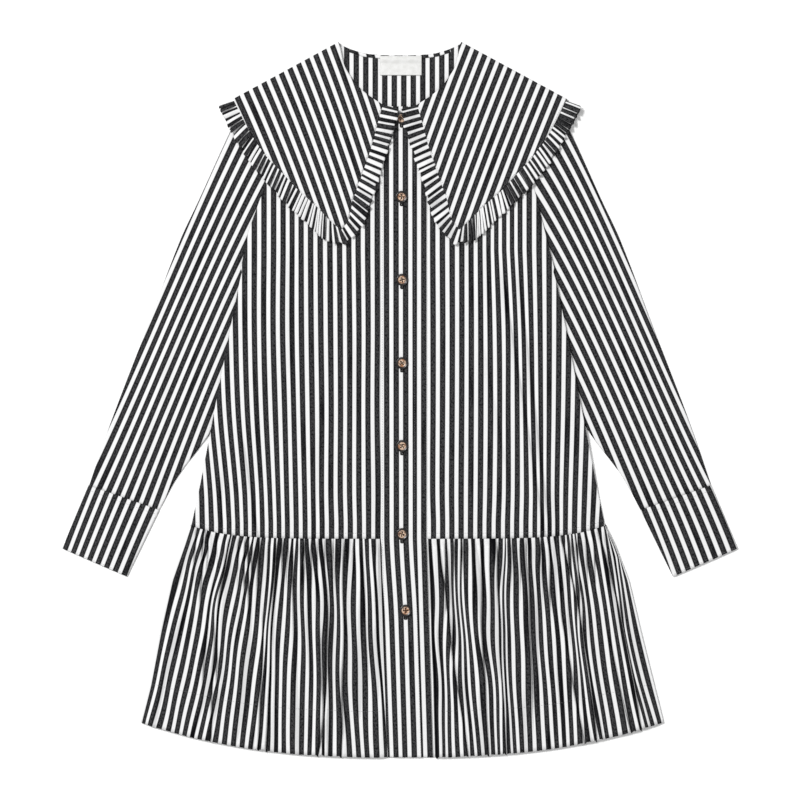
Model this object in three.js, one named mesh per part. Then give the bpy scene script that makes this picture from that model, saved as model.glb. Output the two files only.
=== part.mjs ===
// A shirt dress in striped poplin, laid flat on a table with its front up.
// X runs to the right of the lay, Y from hem to neck, Z up from the table. Sizes are in millimetres.
// Half outlines give how far out a point lies from the centre front, and its height y on the lay.
import * as THREE from 'three';

// Cloth
const POPLIN = 1.0;             // one layer, with the air that a laid layer keeps in it
const CUFF_CLOTH = 1.3;         // interfaced double cloth
const GAP = 0.3;                // between pieces that are sewn or lie together
const PLY = POPLIN + GAP;       // height that one more layer adds to the lay
const SLACK = 0.2;              // the front lies this much looser on the back

// Neck and shoulders
const NECK_POINT = { out: 76.9, y: 446.9 };
const COLLAR_CORNER = { out: 208.8, y: 375.6 };
const SHOULDER_SETBACK = 3.6;   // the panels end this far inside the collar's fold
const BACK_NECK = [
  { out: 62.5, y: 438.1 },
  { out: 43.8, y: 432.5 },
  { out: 22.0, y: 430.4 },
  { out: 0.0, y: 430.0 },
];
const FRONT_NECK = [
  { out: 36.3, y: 377.8 },
  { out: 49.0, y: 387.9 },
  { out: 57.9, y: 398.1 },
  { out: 69.4, y: 417.3 },
];
const NECK_TURNING = 2.0;       // the front panels' neck edge hides this far inside the collar's
const NECK_SHARE = { front: 0.36, back: 0.4 };   // share of a panel's top columns that follow the neck

// Armhole and side seam, from the shoulder down; left and right are distances out
const ARMHOLE = [
  { at: 'shoulder point', y: 383, left: 187.5, right: 187.5 },
  { at: 'upper curve', y: 325, left: 171, right: 171 },
  { at: 'deepest', y: 272, left: 165, right: 164 },
  { at: 'lower curve', y: 245, left: 174, right: 170 },
  { at: 'front notch', y: 207, left: 187, right: 179 },
  { at: 'underarm', y: 164, left: 196, right: 190 },
];
const SIDE_SEAM = [
  { at: 'underarm', y: 164, left: 196, right: 190 },
  { at: 'ribs', y: 143, left: 201, right: 196 },
  { at: 'waist', y: 0, left: 229, right: 224.5 },
  { at: 'high hip', y: -99, left: 248, right: 244 },
  { at: 'drop seam', y: -157.5, left: 260.5, right: 256 },
];
const ARMHOLE_LAP = 2.5;        // the front's armhole edge lies this far over the sleeve
const BACK_SETBACK = 0.8;       // the back hides this far inside the front's edge
const BACK_ARMHOLE_SETBACK = 1.6;
const PANEL_ROWS = { armhole: 7, side: 8 };
const PANEL_COLUMNS = { back: 20, front: 14 };
const SEAM_CELL = 0.026;        // share of a front's width in its last column, which takes the armhole ridge

// Drop-waist seam and gathered tier
const WAIST_Y = -174;
const WAIST_RISE = 16;          // the seam curves up this far to the sides
const WAIST_CURVE = 6;          // power of that curve: flat in the middle, quick at the sides
const HEM_Y = -447;
const HEM_RISE = 44;
const HEM_CURVE = 2.5;
const SKIRT_SIDE = [
  { at: 'drop seam', y: -158, left: 262, right: 257.5 },
  { at: 'puff of the gathers', y: -182, left: 270, right: 269 },
  { at: 'upper tier', y: -226, left: 286, right: 286 },
  { at: 'mid tier', y: -290, left: 300, right: 301 },
  { at: 'lower tier', y: -358, left: 312.5, right: 318 },
  { at: 'hem corner', y: -403, left: 324, right: 329.4 },
];
const GATHERS = 20;             // in each half of the front tier
const COLUMNS_PER_WAVE = 3;
// Rows down the tier: how deep the gathers stand at the seam's pitch, and the broad folds they merge into
const TIER_ROWS = [
  { share: 0.0, gather: 1.5, fold: 0.0 },
  { share: 0.06, gather: 3.0, fold: 0.2 },
  { share: 0.34, gather: 2.4, fold: 0.8 },
  { share: 0.68, gather: 1.7, fold: 1.5 },
  { share: 1.0, gather: 1.3, fold: 2.2 },
];
const FOLDS_PER_HALF = 7.3;
const FOLD_PHASE = 1.3;         // radians
const BACK_TIER_CELLS = { down: 5, across: 18 };
// Gathers and ruffle waves differ in height by this share, each one this many radians on from the last
const UNEVENNESS = 0.25;
const UNEVEN_STEP = { gathers: 2.4, ruffle: 1.9 };

// Placket: the over band buttons onto the under band, and both swing right below the waist
const OVER_BAND = { from: -23.5, to: 20 };
const UNDER_BAND = { from: -6, to: 33.8 };
const BAND_TOP = 366;
const BAND_SWING = 8;
const BAND_RISE = { from: -20, to: -10 };   // where the over band climbs onto the under band
const BAND_CELLS = { aboveWaist: 13, belowWaist: 6, under: 4, over: 6 };

// Buttons, from the neck down
const BUTTON = { across: 15, thick: 2.4, hole: 1.7, holeSides: 6, holeSpacing: 3.4 };
const BUTTONS = [
  { y: 351, x: 2.0 },
  { y: 253, x: 2.0 },
  { y: 149.5, x: 2.5 },
  { y: 45.5, x: 2.5 },
  { y: -58, x: 2.5 },
  { y: -168, x: 2.5 },
  { y: -263.5, x: 7.0 },
];

// Sleeve, laid out and down from the body
const SLEEVE_OUTER = [
  { at: 'shoulder point', out: 187.5, y: 383 },
  { at: 'sleeve head', out: 211.3, y: 336.9 },
  { at: 'upper arm', out: 252.6, y: 246.9 },
  { at: 'arm', out: 275, y: 198.9 },
  { at: 'elbow', out: 319, y: 83 },
  { at: 'forearm', out: 363.1, y: -32.6 },
  { at: 'cuff seam', out: 388.6, y: -107.1 },
];
// Inner fold below the underarm; the part above the forearm lies hidden beneath the body
const SLEEVE_INNER = [
  { at: 'hidden underarm', out: 173, y: 124 },
  { at: 'hidden elbow', out: 191.3, y: 43.1 },
  { at: 'leaves the body', out: 235, y: -38.1 },
  { at: 'forearm', out: 277.5, y: -95.6 },
  { at: 'cuff seam', out: 300.9, y: -137.9 },
];
// Rings down the sleeve: their share of the outer fold, and of the armhole or of the inner fold
const SLEEVE_RINGS = [
  { outer: 0.01, armhole: 0.03 },
  { outer: 0.06, armhole: 0.15 },
  { outer: 0.11, armhole: 0.30 },
  { outer: 0.16, armhole: 0.45 },
  { outer: 0.21, armhole: 0.60 },
  { outer: 0.27, armhole: 0.74 },
  { outer: 0.33, armhole: 0.88 },
  { outer: 0.39, fold: 0.0 },
  { outer: 0.47, fold: 0.125 },
  { outer: 0.54, fold: 0.25 },
  { outer: 0.62, fold: 0.375 },
  { outer: 0.69, fold: 0.5 },
  { outer: 0.77, fold: 0.625 },
  { outer: 0.85, fold: 0.75 },
  { outer: 0.92, fold: 0.875 },
  { outer: 1.0, fold: 1.0 },
];
const SLEEVE_HOLLOW = 0.4;      // clear height inside at the folds
const SLEEVE_PUFF = 0.8;        // added clear height along the middle
const SLEEVE_FILLS = { rings: 5, cuffRings: 3, atCuff: 0.25 };   // how the puff grows from both ends
const EDGE_ROUND = 1.7;         // plan width of a tube's rounded fold
const ROUND_INSIDE = { walls: 1.1, round: 0.75 };   // the fold's inside: in wall thicknesses, and at most
const CUFF_OUTER = { out: 421.9, y: -186.1 };
const CUFF_INNER = { out: 341.3, y: -221.1 };
const CUFF_PUFF = 0.8;          // added clear height at the cuff's open end

// Collar edge and its ruffle, from the centre front round the point to the shoulder corner.
// seam is the collar's edge, free is the ruffle's edge.
const RUFFLE_SEAM = [
  { seam: { out: 21.4, y: 368.1 }, free: { out: 3.0, y: 361.0 } },
  { seam: { out: 28.1, y: 344.4 }, free: { out: 7.5, y: 339.0 } },
  { seam: { out: 35.8, y: 315.6 }, free: { out: 16.0, y: 311.0 } },
  { seam: { out: 47.3, y: 281.1 }, free: { out: 26.5, y: 276.0 } },
  { seam: { out: 58.8, y: 248.6 }, free: { out: 36.5, y: 243.5 } },
  { seam: { out: 64.5, y: 223.8 }, free: { out: 46.0, y: 217.0 } },
  { seam: { out: 73.8, y: 211.4 }, free: { out: 68.0, y: 194.2 } },
  { seam: { out: 87.5, y: 223.8 }, free: { out: 93.0, y: 200.0 } },
  { seam: { out: 106.3, y: 243.1 }, free: { out: 119.0, y: 223.5 } },
  { seam: { out: 127.5, y: 261.9 }, free: { out: 142.0, y: 244.0 } },
  { seam: { out: 148.8, y: 285.0 }, free: { out: 164.0, y: 268.5 } },
  { seam: { out: 167.5, y: 304.4 }, free: { out: 184.5, y: 292.5 } },
  { seam: { out: 186.9, y: 333.1 }, free: { out: 204.0, y: 324.0 } },
  { seam: { out: 208.8, y: 375.6 }, free: { out: 226.3, y: 366.0 } },
];
const POINT_ROW = 6;            // the row above that holds the collar's point
const RUFFLE_WAVES = { front: 18, outer: 26 };
const RUFFLE_HEIGHT = 3.6;      // from trough to crest at the free edge
const RUFFLE_ROOT = 0.7;        // the same at the seam
const BUTTON_CLIMB = { height: 3.4, full: 12, end: 24 };   // the ruffle rides over the top button
// Edge of the collar's back and of its ruffle, hidden beneath the garment
const BACK_COLLAR = [
  { out: 186.5, y: 333.0 },
  { out: 163.0, y: 293.0 },
  { out: 110.0, y: 257.0 },
  { out: 0.0, y: 243.0 },
];
const BACK_RUFFLE = [
  { out: 204.0, y: 323.0 },
  { out: 179.0, y: 279.0 },
  { out: 118.0, y: 237.0 },
  { out: 0.0, y: 222.0 },
];
const BACK_RUFFLE_DEPTH = 20.5;
const RUFFLE_CORNER = { out: 228, y: 372 };   // where the back ruffle's edge turns up to the shoulder

// Back neck finish
const BINDING = { setback: 0.4, wide: 4 };
const LABEL = { from: -25, to: 27, top: 429, overBinding: 424.5, offBinding: 419, bottom: 405 };
const NECK_CELLS = { binding: 14, label: 4 };

// How the layers climb over what lies beneath them
const COLLAR_SLOPE = 80;        // run over which the body climbs onto the back collar
const TUCK_SLOPE = 100;         // run over which it climbs onto the tucked sleeve
const ARMHOLE_RIDGE = { height: POPLIN + SLEEVE_HOLLOW, full: 4, end: 20 };   // over the sleeve's edge
const TUCK_HEIGHT = 2 * POPLIN + SLEEVE_HOLLOW + SLEEVE_PUFF + GAP;
// The tuck's outline runs down this share of the sleeve's inner fold and of the side seam, and past the seam
const TUCK_REACH = { innerFold: 0.66, sideSeam: 0.62, past: 8 };
const COLLAR_LAY = 2 * PLY + SLACK + ARMHOLE_RIDGE.height;   // the flaps lie over the seam ridge

// Largest soft folds, as ridges from one end to the other.
// They rise over a share of their length, and die out over a share of it past their end.
const FOLD_FADE = { rise: 1 / 3, past: 0.25 };
const FRONT_FOLDS = [
  { from: [140, 190], to: [186, -172], height: 3.6, half: 19 },
  { from: [118, 40], to: [150, -172], height: 1.8, half: 16 },
  { from: [-176, 60], to: [-142, -172], height: 2.4, half: 17 },
  { from: [-88, -40], to: [-100, -172], height: 1.4, half: 14 },
];
const SLEEVE_FOLDS = [
  { from: [262, 160], to: [330, -80], height: 1.8, half: 15 },
  { from: [300, 70], to: [292, -70], height: 1.4, half: 13 },
];
// Across the sleeve, from its outer edge, the folds reach full height by one share and keep it up to another
const SLEEVE_FOLD_REACH = { full: 0.125, fades: 0.55, gone: 0.75 };

// Finishes
const stripe = (name, shade) => {
  const finish = new THREE.MeshStandardMaterial({ color: shade, roughness: 0.85, metalness: 0 });
  finish.name = name;
  return finish;
};
const BODY_SHADE = 0x98989a;
const TRIM_SHADE = 0x848487;
const LABEL_SHADE = 0xf1f0ec;
const BUTTON_SHADE = 0x4a2c18;

// Plane helpers
const SIDES = { left: -1, right: 1 };
const point = (side, half) => new THREE.Vector2(SIDES[side] * half.out, half.y);
const sidePoint = (side, row) => new THREE.Vector2(SIDES[side] * row[side], row.y);

function ease(share) {
  const held = THREE.MathUtils.clamp(share, 0, 1);
  return held * held * (3 - 2 * held);
}

// A smooth curve through points, read by its share of length.
function curveThrough(points) {
  const along = [0];
  for (let i = 1; i < points.length; i += 1) {
    along.push(along[i - 1] + points[i].distanceTo(points[i - 1]));
  }
  const last = points.length - 1;
  const slope = (i) => {
    const before = Math.max(0, i - 1);
    const after = Math.min(last, i + 1);
    return points[after].clone().sub(points[before]).divideScalar(along[after] - along[before]);
  };
  return (share) => {
    const at = share * along[last];
    let i = 0;
    while (i < last - 1 && at > along[i + 1]) {
      i += 1;
    }
    const run = along[i + 1] - along[i];
    const t = (at - along[i]) / run;
    const startPull = slope(i).multiplyScalar(run * t * (1 - t) * (1 - t));
    const endPull = slope(i + 1).multiplyScalar(run * t * t * (1 - t));
    return points[i].clone().lerp(points[i + 1], ease(t)).add(startPull).sub(endPull);
  };
}

const line = (start, end) => (share) => start.clone().lerp(end, share);

// Curves joined end to end; each takes its own share of the reading.
function chain(parts) {
  return (share) => {
    let from = 0;
    for (const part of parts) {
      const to = from + part.share;
      if (share <= to + 1e-9 || part === parts[parts.length - 1]) {
        return part.curve(THREE.MathUtils.clamp((share - from) / part.share, 0, 1));
      }
      from = to;
    }
    return null;
  };
}

// A curve moved sideways in the plane, to the left of its direction for a positive distance.
function beside(curve, distance) {
  return (share) => {
    const step = 0.004;
    const ahead = curve(Math.min(1, share + step));
    const behind = curve(Math.max(0, share - step));
    const way = ahead.sub(behind).normalize();
    return curve(share).add(new THREE.Vector2(-way.y, way.x).multiplyScalar(distance));
  };
}

// A patch between four edge curves.
function patch(edges, u, v) {
  const { start, end, top, bottom } = edges;
  const across = start(v).lerp(end(v), u);
  const down = top(u).lerp(bottom(u), v);
  const corners = top(0).lerp(top(1), u).lerp(bottom(0).lerp(bottom(1), u), v);
  return across.add(down).sub(corners);
}

function shares(cells) {
  return Array.from({ length: cells + 1 }, (_, i) => i / cells);
}

// Distance from a place to an outline, zero inside it.
function distanceOutside(outline, place) {
  let nearest = Infinity;
  let inside = false;
  for (let i = 0; i < outline.length; i += 1) {
    const a = outline[i];
    const b = outline[(i + 1) % outline.length];
    const run = b.clone().sub(a);
    const t = THREE.MathUtils.clamp(place.clone().sub(a).dot(run) / run.lengthSq(), 0, 1);
    nearest = Math.min(nearest, a.clone().addScaledVector(run, t).distanceTo(place));
    const crosses = (a.y > place.y) !== (b.y > place.y);
    if (crosses && place.x < a.x + ((place.y - a.y) / (b.y - a.y)) * (b.x - a.x)) {
      inside = !inside;
    }
  }
  return inside ? 0 : nearest;
}

function distanceToCurve(stations, place) {
  let nearest = Infinity;
  for (let i = 0; i < stations.length - 1; i += 1) {
    const run = stations[i + 1].clone().sub(stations[i]);
    const t = THREE.MathUtils.clamp(place.clone().sub(stations[i]).dot(run) / run.lengthSq(), 0, 1);
    nearest = Math.min(nearest, stations[i].clone().addScaledVector(run, t).distanceTo(place));
  }
  return nearest;
}

// Outlines of the lay
const armholeCurve = {};
const sideCurve = {};
const sleeveOuterCurve = {};
const sleeveInnerCurve = {};
const tuckOutline = {};
for (const side of Object.keys(SIDES)) {
  armholeCurve[side] = curveThrough(ARMHOLE.map((row) => sidePoint(side, row)));
  sideCurve[side] = curveThrough(SIDE_SEAM.map((row) => sidePoint(side, row)));
  sleeveOuterCurve[side] = curveThrough(SLEEVE_OUTER.map((row) => point(side, row)));
  const underarm = armholeCurve[side](1);
  sleeveInnerCurve[side] = curveThrough([underarm, ...SLEEVE_INNER.map((row) => point(side, row))]);
  const hiddenPart = shares(12).map((s) => sleeveInnerCurve[side](s * TUCK_REACH.innerFold));
  const past = new THREE.Vector2(SIDES[side] * TUCK_REACH.past, 0);
  const overPart = shares(4).map((s) => sideCurve[side](TUCK_REACH.sideSeam * (1 - s)).add(past));
  tuckOutline[side] = [...hiddenPart, ...overPart];
}
// A half outline that ends on the centre front, carried on to the other side.
const mirrored = (half) => [
  ...half.map((row) => point('left', row)),
  ...half.slice(0, -1).reverse().map((row) => point('right', row)),
];
const backCollarOutline = mirrored([NECK_POINT, COLLAR_CORNER, RUFFLE_CORNER, ...BACK_RUFFLE]);

// Height that the back collar adds beneath the body and the sleeves.
function collarLift(place) {
  return PLY * (1 - ease(distanceOutside(backCollarOutline, place) / COLLAR_SLOPE));
}

// Height of the table side of the back panel.
function backLay(place) {
  const side = place.x < 0 ? 'left' : 'right';
  const tuck = 1 - ease(distanceOutside(tuckOutline[side], place) / TUCK_SLOPE);
  return collarLift(place) + TUCK_HEIGHT * tuck;
}

// A soft ridge that fades in from its first end.
function foldHeight(folds, place) {
  let height = 0;
  for (const fold of folds) {
    const from = new THREE.Vector2(...fold.from);
    const run = new THREE.Vector2(...fold.to).sub(from);
    const t = place.clone().sub(from).dot(run) / run.lengthSq();
    const foot = from.clone().addScaledVector(run, THREE.MathUtils.clamp(t, 0, 1));
    const fade = ease(t / FOLD_FADE.rise) * ease((1 + FOLD_FADE.past - t) / FOLD_FADE.past);
    const across = ease(1 - foot.distanceTo(place) / fold.half);
    height += fold.height * fade * across;
  }
  return height;
}

const armholeStations = {
  left: shares(16).map((s) => armholeCurve.left(s)),
  right: shares(16).map((s) => armholeCurve.right(s)),
};

// Height of the table side of the front panels.
function frontLay(place) {
  const side = place.x < 0 ? 'left' : 'right';
  const away = distanceToCurve(armholeStations[side], place);
  const { height, full, end } = ARMHOLE_RIDGE;
  const ridge = height * (1 - ease((away - full) / (end - full)));
  return backLay(place) + PLY + SLACK + ridge + foldHeight(FRONT_FOLDS, place);
}

function collarLay(place) {
  return collarLift(place) + COLLAR_LAY;
}

// Closed solids
function closedMesh(name, vertices, faces, finish) {
  const geometry = new THREE.BufferGeometry();
  const positions = vertices.flatMap((p) => p.toArray());
  geometry.setAttribute('position', new THREE.Float32BufferAttribute(positions, 3));
  let volume = 0;
  for (const [a, b, c] of faces) {
    volume += vertices[a].dot(vertices[b].clone().cross(vertices[c]));
  }
  geometry.setIndex(faces.flatMap(([a, b, c]) => (volume > 0 ? [a, b, c] : [a, c, b])));
  geometry.computeVertexNormals();
  const mesh = new THREE.Mesh(geometry, finish);
  mesh.name = name;
  return mesh;
}

// A wall between an upper and a lower grid of points, closed round its border.
// From row weldFrom on, the last column is the first one again, which makes a tube.
function solidBetween(name, upper, lower, finish, weldFrom = Infinity) {
  const rows = upper.length;
  const columns = upper[0].length;
  const vertices = [...upper.flat(), ...lower.flat()];
  const below = rows * columns;
  const id = (r, c) => r * columns + (r >= weldFrom && c === columns - 1 ? 0 : c);
  const faces = [];
  const quad = (a, b, c, d) => faces.push([a, b, c], [a, c, d]);
  for (let r = 0; r < rows - 1; r += 1) {
    for (let c = 0; c < columns - 1; c += 1) {
      quad(id(r, c), id(r + 1, c), id(r + 1, c + 1), id(r, c + 1));
      quad(below + id(r, c), below + id(r, c + 1), below + id(r + 1, c + 1), below + id(r + 1, c));
    }
    if (r < weldFrom) {
      const end = columns - 1;
      quad(id(r, 0), below + id(r, 0), below + id(r + 1, 0), id(r + 1, 0));
      quad(id(r, end), id(r + 1, end), below + id(r + 1, end), below + id(r, end));
    }
  }
  for (let c = 0; c < columns - 1; c += 1) {
    const end = rows - 1;
    quad(id(0, c), id(0, c + 1), below + id(0, c + 1), below + id(0, c));
    quad(id(end, c), below + id(end, c), below + id(end, c + 1), id(end, c + 1));
  }
  return closedMesh(name, vertices, faces, finish);
}

// A wall of even thickness about a grid of middle points.
function wall(name, middle, thickness, finish) {
  const rows = middle.length;
  const columns = middle[0].length;
  const offsets = middle.map((row, r) => row.map((_, c) => {
    const across = row[Math.min(columns - 1, c + 1)].clone().sub(row[Math.max(0, c - 1)]);
    const down = middle[Math.min(rows - 1, r + 1)][c].clone().sub(middle[Math.max(0, r - 1)][c]);
    return across.cross(down).normalize().multiplyScalar(thickness / 2);
  }));
  const upper = middle.map((row, r) => row.map((p, c) => p.clone().sub(offsets[r][c])));
  const lower = middle.map((row, r) => row.map((p, c) => p.clone().add(offsets[r][c])));
  return solidBetween(name, upper, lower, finish);
}

// A nearly flat wall: its lower face lies at the height that lay gives.
function laidWall(name, plan, lay, thickness, finish) {
  const lower = plan.map((row) => row.map((p) => new THREE.Vector3(p.x, p.y, lay(p))));
  const upper = lower.map((row) => row.map((p) => p.clone().setZ(p.z + thickness)));
  return solidBetween(name, upper, lower, finish);
}

const lift = (p, z) => new THREE.Vector3(p.x, p.y, z);

// Body panels
function setbackFromFold(side, half) {
  const along = point(side, COLLAR_CORNER).sub(point(side, NECK_POINT)).normalize();
  const inward = new THREE.Vector2(along.y, -along.x).multiplyScalar(SIDES[side]);
  return point(side, half).addScaledVector(inward, SHOULDER_SETBACK);
}

const waistEdge = (x) => {
  const corner = SIDE_SEAM[SIDE_SEAM.length - 1];
  const half = x < 0 ? corner.left : corner.right;
  return new THREE.Vector2(x, WAIST_Y + WAIST_RISE * Math.abs(x / half) ** WAIST_CURVE);
};
const hemEdge = (x) => {
  const corner = SKIRT_SIDE[SKIRT_SIDE.length - 1];
  const half = x < 0 ? corner.left : corner.right;
  return new THREE.Vector2(x, HEM_Y + HEM_RISE * Math.abs(x / half) ** HEM_CURVE);
};

const bodyRows = shares(PANEL_ROWS.armhole + PANEL_ROWS.side);
const armholeShare = PANEL_ROWS.armhole / (PANEL_ROWS.armhole + PANEL_ROWS.side);

function bodyEdge(side, armholeOut, sideOut) {
  const turn = -SIDES[side];
  return chain([
    { share: armholeShare, curve: beside(armholeCurve[side], -turn * armholeOut) },
    { share: 1 - armholeShare, curve: beside(sideCurve[side], -turn * sideOut) },
  ]);
}

function bodiceBack() {
  const start = bodyEdge('left', -BACK_ARMHOLE_SETBACK, -BACK_SETBACK);
  const end = bodyEdge('right', -BACK_ARMHOLE_SETBACK, -BACK_SETBACK);
  const neckLeft = setbackFromFold('left', NECK_POINT);
  const neckRight = setbackFromFold('right', NECK_POINT);
  const shoulder = (1 - NECK_SHARE.back) / 2;
  const top = chain([
    { share: shoulder, curve: line(start(0), neckLeft) },
    { share: NECK_SHARE.back, curve: curveThrough([neckLeft, ...mirrored(BACK_NECK), neckRight]) },
    { share: shoulder, curve: line(neckRight, end(0)) },
  ]);
  const setback = new THREE.Vector2(0, BACK_SETBACK);
  const bottom = (u) => waistEdge(THREE.MathUtils.lerp(start(1).x, end(1).x, u)).add(setback);
  const edges = { start, end, top, bottom };
  const plan = bodyRows.map((v) => shares(PANEL_COLUMNS.back).map((u) => patch(edges, u, v)));
  return laidWall('bodice_back', plan, backLay, POPLIN, stripe('poplin back', BODY_SHADE));
}

function bodiceFront(side) {
  const band = side === 'left' ? OVER_BAND.from - GAP : UNDER_BAND.to + GAP;
  const outer = bodyEdge(side, ARMHOLE_LAP, 0);
  const turned = (row) => ({ out: row.out + NECK_TURNING, y: row.y - NECK_TURNING });
  const neck = curveThrough([
    new THREE.Vector2(band, BAND_TOP),
    ...FRONT_NECK.map((row) => point(side, turned(row))),
    setbackFromFold(side, turned(NECK_POINT)),
  ]);
  const edges = {
    start: line(new THREE.Vector2(band, BAND_TOP), waistEdge(band)),
    end: outer,
    top: chain([
      { share: NECK_SHARE.front, curve: neck },
      { share: 1 - NECK_SHARE.front, curve: line(neck(1), outer(0)) },
    ]),
    bottom: (u) => waistEdge(THREE.MathUtils.lerp(band, outer(1).x, u)),
  };
  const across = [...shares(PANEL_COLUMNS.front).map((s) => s * (1 - SEAM_CELL)), 1];
  const plan = bodyRows.map((v) => across.map((u) => patch(edges, u, v)));
  const finish = stripe(`poplin front ${side}`, BODY_SHADE);
  return laidWall(`bodice_front_${side}`, plan, frontLay, POPLIN, finish);
}

// Placket bands
const swing = (y) => BAND_SWING * THREE.MathUtils.clamp((WAIST_Y - y) / (WAIST_Y - HEM_Y), 0, 1);

function overBandLay(p) {
  const climb = ease((p.x - swing(p.y) - BAND_RISE.from) / (BAND_RISE.to - BAND_RISE.from));
  return backLay(p) + PLY + PLY * climb;
}

function band(name, edges, cells, lay) {
  const heights = [
    ...shares(BAND_CELLS.aboveWaist).map((v) => THREE.MathUtils.lerp(BAND_TOP, WAIST_Y, v)),
    ...shares(BAND_CELLS.belowWaist).slice(1).map((v) => THREE.MathUtils.lerp(WAIST_Y, HEM_Y, v)),
  ];
  const plan = heights.map((y) => shares(cells).map((u) => {
    const x = THREE.MathUtils.lerp(edges.from, edges.to, u) + swing(y);
    return new THREE.Vector2(x, y);
  }));
  return laidWall(name, plan, lay, POPLIN, stripe(name, TRIM_SHADE));
}

// Skirt tier
const crest = (turns) => 0.5 + 0.5 * Math.cos(2 * Math.PI * turns);
const uneven = (number, step) => 1 - UNEVENNESS + UNEVENNESS * Math.sin(number * step);

function tierFront(side) {
  const sign = SIDES[side];
  const inner = side === 'left' ? OVER_BAND.from - GAP : UNDER_BAND.to + GAP;
  const seam = (x) => waistEdge(x).sub(new THREE.Vector2(0, GAP));
  const outer = curveThrough(SKIRT_SIDE.map((row) => sidePoint(side, row)));
  const edges = {
    start: (v) => new THREE.Vector2(inner + BAND_SWING * v, THREE.MathUtils.lerp(seam(inner).y, HEM_Y, v)),
    end: outer,
    top: (u) => {
      const x = THREE.MathUtils.lerp(inner, outer(0).x, u);
      const held = Math.min(Math.abs(x), Math.abs(sideCurve[side](1).x));
      return new THREE.Vector2(x, seam(sign * held).y);
    },
    bottom: (u) => hemEdge(THREE.MathUtils.lerp(inner + BAND_SWING, outer(1).x, u)),
  };
  const columns = GATHERS * COLUMNS_PER_WAVE;
  const middle = TIER_ROWS.map((row) => shares(columns).map((u) => {
    const p = patch(edges, u, row.share);
    const wave = u * GATHERS;
    const gather = row.gather * uneven(Math.floor(wave), UNEVEN_STEP.gathers) * crest(wave);
    const fold = row.fold * crest(FOLDS_PER_HALF * u + FOLD_PHASE / (2 * Math.PI));
    return lift(p, PLY + GAP + POPLIN / 2 + gather + fold);
  }));
  return wall(`skirt_front_${side}`, middle, POPLIN, stripe(`poplin tier ${side}`, BODY_SHADE));
}

function tierBack() {
  const inset = new THREE.Vector2(0, BACK_SETBACK);
  const inward = new THREE.Vector2(BACK_SETBACK, 0);
  const left = curveThrough(SKIRT_SIDE.map((row) => sidePoint('left', row).add(inward)));
  const right = curveThrough(SKIRT_SIDE.map((row) => sidePoint('right', row).sub(inward)));
  const top = (u) => {
    const x = THREE.MathUtils.lerp(left(0).x, right(0).x, u);
    const half = x < 0 ? -sideCurve.left(1).x : sideCurve.right(1).x;
    const reach = THREE.MathUtils.clamp(x, -half, half);
    return new THREE.Vector2(x, waistEdge(reach).y - GAP);
  };
  const bottom = (u) => hemEdge(THREE.MathUtils.lerp(left(1).x, right(1).x, u)).add(inset);
  const edges = { start: left, end: right, top, bottom };
  const { down, across } = BACK_TIER_CELLS;
  const plan = shares(down).map((v) => shares(across).map((u) => patch(edges, u, v)));
  return laidWall('skirt_back', plan, () => 0, POPLIN, stripe('poplin tier back', BODY_SHADE));
}

// Flattened tubes
const TOP_STATIONS = 6;

// One ring: down the upper layer from the inner to the outer edge, round the fold, and back beneath.
function ring(inner, outer, heights, closed) {
  const width = inner.distanceTo(outer);
  const round = EDGE_ROUND / width;
  const last = closed ? 1 - round : 1;
  const stations = shares(TOP_STATIONS).map((s) => THREE.MathUtils.lerp(round, last, s));
  const at = (w) => outer.clone().lerp(inner, w);
  const { bottom, top, thick } = heights;
  const outside = [];
  const inside = [];
  for (const w of stations.slice().reverse()) {
    outside.push(lift(at(w), top(at(w), w)));
    inside.push(lift(at(w), top(at(w), w) - thick));
  }
  const edge = (w, inset) => {
    const middle = (top(at(w), w) + bottom(at(w))) / 2;
    const plan = at(w).add(at(0.5).sub(at(w)).setLength(inset));
    return lift(plan, middle);
  };
  const roundInside = Math.min(thick * ROUND_INSIDE.walls, EDGE_ROUND * ROUND_INSIDE.round);
  outside.push(edge(0, 0));
  inside.push(edge(0, roundInside));
  for (const w of stations) {
    outside.push(lift(at(w), bottom(at(w))));
    inside.push(lift(at(w), bottom(at(w)) + thick));
  }
  if (closed) {
    const fold = edge(1, 0);
    const foldInside = edge(1, roundInside);
    outside.unshift(fold);
    inside.unshift(foldInside);
    outside.push(fold.clone());
    inside.push(foldInside.clone());
  } else {
    outside.unshift(outside[0].clone());
    inside.unshift(inside[0].clone());
    outside.push(outside[outside.length - 1].clone());
    inside.push(inside[inside.length - 1].clone());
  }
  return { outside, inside };
}

function sleeve(side) {
  const innerCurve = sleeveInnerCurve[side];
  const rings = SLEEVE_RINGS.map((row, i) => {
    const outer = sleeveOuterCurve[side](row.outer);
    const open = row.armhole !== undefined;
    const inner = open ? armholeCurve[side](row.armhole) : innerCurve(row.fold);
    const { rings: headRings, cuffRings, atCuff } = SLEEVE_FILLS;
    const filled = ease(i / headRings) * ease((SLEEVE_RINGS.length - 1 - i) / cuffRings + atCuff);
    const heights = {
      thick: POPLIN,
      bottom: collarLift,
      top: (p, w) => {
        const mirroredPlace = new THREE.Vector2(Math.abs(p.x), p.y);
        const puff = SLEEVE_PUFF * filled * Math.sin(Math.PI * w);
        const { full, fades, gone } = SLEEVE_FOLD_REACH;
        const free = ease((gone - w) / (gone - fades)) * ease(w / full);
        const fold = foldHeight(SLEEVE_FOLDS, mirroredPlace) * free * filled;
        return collarLift(p) + 2 * POPLIN + SLEEVE_HOLLOW + puff + fold;
      },
    };
    return ring(inner, outer, heights, !open);
  });
  const weldFrom = SLEEVE_RINGS.findIndex((row) => row.fold !== undefined);
  return solidBetween(
    `sleeve_${side}`,
    rings.map((r) => r.outside),
    rings.map((r) => r.inside),
    stripe(`poplin sleeve ${side}`, BODY_SHADE),
    weldFrom,
  );
}

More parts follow.
